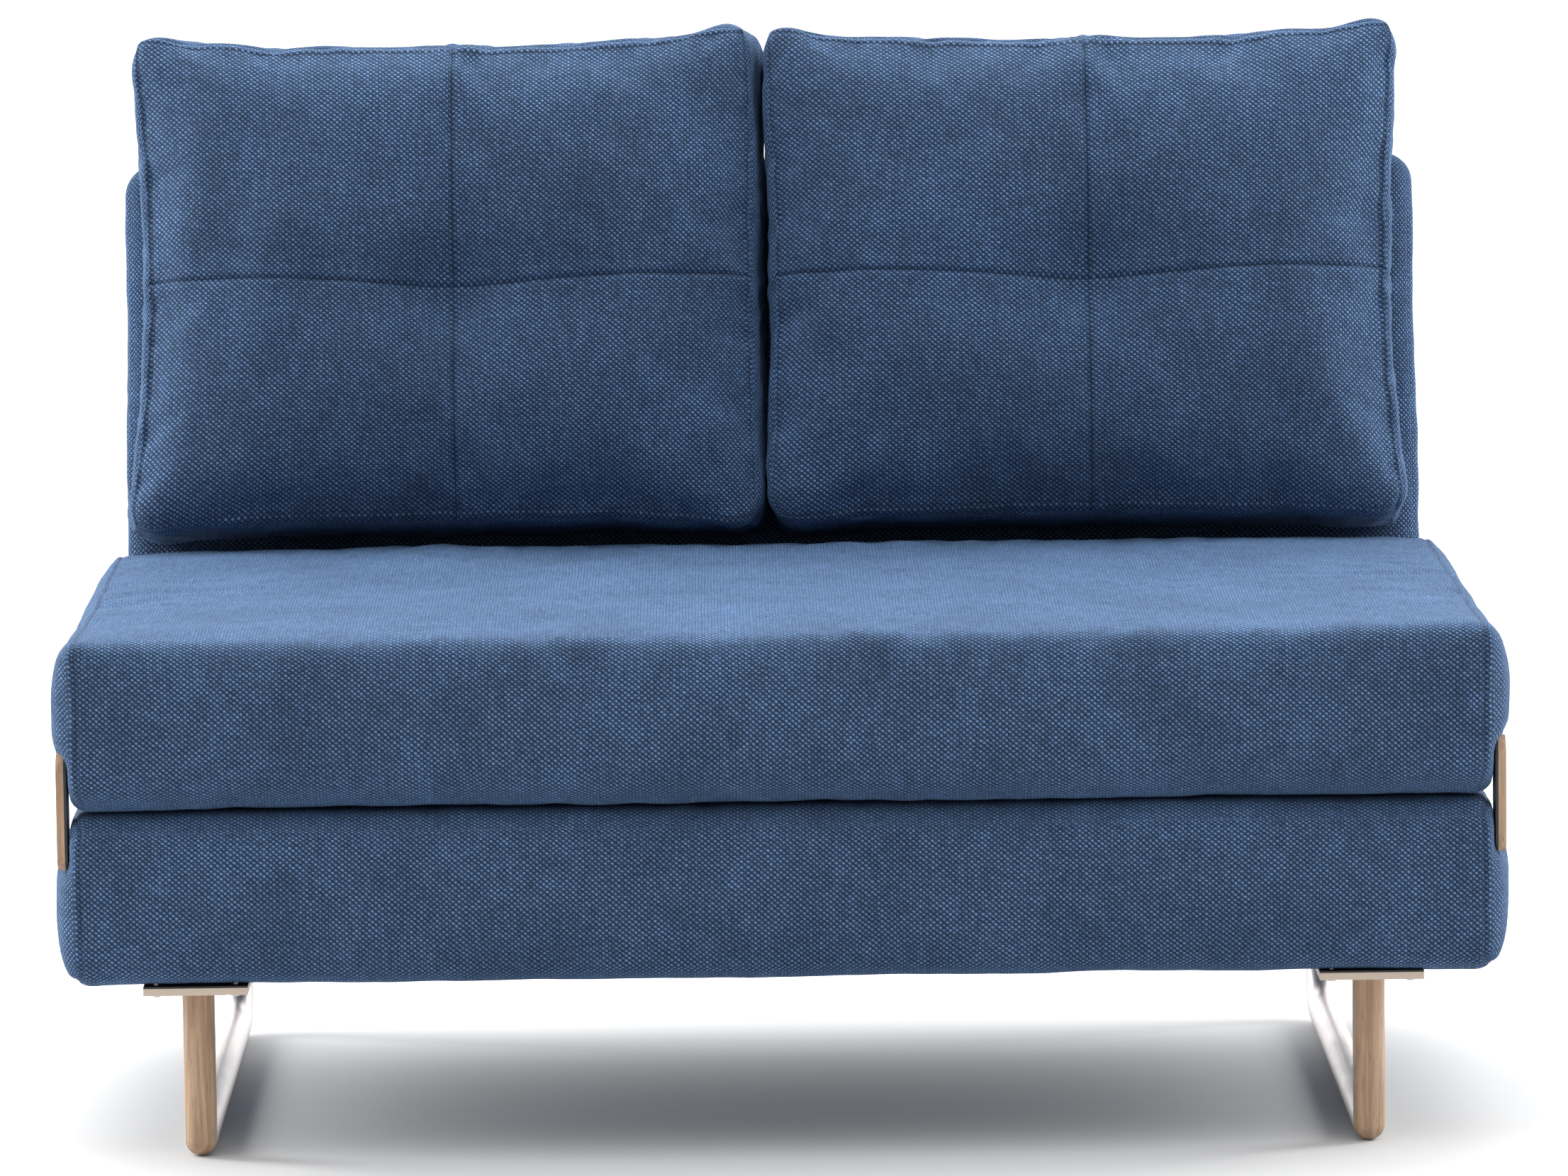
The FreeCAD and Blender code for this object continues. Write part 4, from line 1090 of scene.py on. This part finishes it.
class SOFA_OT_studio(bpy.types.Operator):
    """Set out the floor, the lights and the camera"""

    bl_idname = "sofa.studio"
    bl_label = "Studio"

    def execute(self, context):
        scene = context.scene
        studio = scene.sofa_studio
        ways = ((-1, -1), (1, -1), (1, 1), (-1, 1))
        corners = np.array([(x * FLOOR_REACH, y * FLOOR_REACH, -FLOOR_GAP) for x, y in ways])
        floor = mesh_from("studio_floor", corners, [(0, 1, 2, 3)])
        s = Shading("studio_paper")
        place = s.add("ShaderNodeTexCoord").outputs["Object"]
        grain = s.noise(place, 60.0, 3.0)
        pale = s.blend(grain, solid(studio.floor, 0.985), solid(studio.floor))
        floor.data.materials.append(s.finish(Base_Color=pale, Roughness=s.span(grain, 0, 1, 0.75, 0.85)))
        world = bpy.data.worlds.new("studio_room")
        scene.world = world
        world.use_nodes = True
        tree = world.node_tree
        sky = tree.nodes["Background"]
        sky.inputs["Strength"].default_value = studio.room
        way = tree.nodes.new("ShaderNodeTexCoord")
        lean = tree.nodes.new("ShaderNodeVectorMath")
        lean.operation = "DOT_PRODUCT"
        lean.inputs[1].default_value = (0.0, 0.5, 0.866)
        tree.links.new(way.outputs["Generated"], lean.inputs[0])
        ramp = tree.nodes.new("ShaderNodeMapRange")
        ramp.interpolation_type = "SMOOTHSTEP"
        ramp.inputs["From Min"].default_value = -0.35
        ramp.inputs["From Max"].default_value = 0.95
        ramp.inputs["To Min"].default_value = studio.front
        ramp.inputs["To Max"].default_value = 1.0
        tree.links.new(lean.outputs["Value"], ramp.inputs["Value"])
        tree.links.new(ramp.outputs["Result"], sky.inputs["Color"])
        self.softbox("overhead", (-0.3, 1.0, 3.2), (0.0, 0.1, 0.4), 3.6, 2.4, studio.overhead)
        self.softbox("front_fill", (0.6, -5.2, 2.0), (0.0, 0.0, 0.45), 3.4, 2.4, studio.fill)
        self.softbox("left_rim", (-3.2, 0.9, 1.5), (-0.3, 0.1, 0.6), 1.0, 1.8, studio.rim)
        self.softbox("right_rim", (3.2, 0.9, 1.5), (0.3, 0.1, 0.6), 1.0, 1.8, studio.rim * 0.7)
        camera = bpy.data.cameras.new("camera")
        camera.lens = studio.lens
        camera.sensor_width = 36.0
        camera.clip_end = 200.0
        stand = bpy.data.objects.new("camera", camera)
        scene.collection.objects.link(stand)
        turn = (
            Matrix.Rotation(-studio.swing, 4, "Z")
            @ Matrix.Rotation(math.pi / 2 - studio.tilt, 4, "X")
            @ Matrix.Rotation(studio.roll, 4, "Z")
        )
        stand.matrix_world = Matrix.Translation(studio.stand) @ turn
        scene.camera = stand
        scene.view_settings.view_transform = "Standard"
        scene.view_settings.look = "None"
        return {"FINISHED"}

    def softbox(self, name, at, aim, wide, tall, power):
        light = bpy.data.lights.new(name, "AREA")
        light.shape = "RECTANGLE"
        light.size = wide
        light.size_y = tall
        light.energy = power
        box = bpy.data.objects.new(name, light)
        bpy.context.scene.collection.objects.link(box)
        way = Vector(aim) - Vector(at)
        box.location = at
        box.rotation_euler = way.to_track_quat("-Z", "Y").to_euler()


# ---------------------------------------------------------------- panel and registration

PIECES = (
    SOFA_OT_joinery,
    SOFA_OT_metalwork,
    SOFA_OT_lower_section,
    SOFA_OT_seat_section,
    SOFA_OT_back,
    SOFA_OT_cushions,
    SOFA_OT_studio,
)
GROUPS = {
    "sofa_cloth": SofaCloth,
    "sofa_padding": SofaPadding,
    "sofa_wood": SofaWood,
    "sofa_metal": SofaMetal,
    "sofa_studio": SofaStudio,
}


class SOFA_PT_panel(bpy.types.Panel):
    """Sizes, colours and pieces of the sofa bed"""

    bl_idname = "SOFA_PT_panel"
    bl_label = "Sofa Bed"
    bl_space_type = "VIEW_3D"
    bl_region_type = "UI"
    bl_category = "Sofa Bed"

    def draw(self, context):
        for key, group in GROUPS.items():
            box = self.layout.box()
            box.label(text=group.__doc__)
            for name in group.__annotations__:
                box.prop(getattr(context.scene, key), name)
        for piece in PIECES:
            self.layout.operator(piece.bl_idname)


def register():
    for group in GROUPS.values():
        bpy.utils.register_class(group)
    for key, group in GROUPS.items():
        setattr(bpy.types.Scene, key, PointerProperty(type=group))
    for piece in PIECES:
        bpy.utils.register_class(piece)
    bpy.utils.register_class(SOFA_PT_panel)


def unregister():
    bpy.utils.unregister_class(SOFA_PT_panel)
    for piece in reversed(PIECES):
        bpy.utils.unregister_class(piece)
    for key in GROUPS:
        delattr(bpy.types.Scene, key)
    for group in reversed(GROUPS.values()):
        bpy.utils.unregister_class(group)


def main():
    register()
    for piece in PIECES:
        family, name = piece.bl_idname.split(".")
        getattr(getattr(bpy.ops, family), name)()


if __name__ == "__main__":
    main()
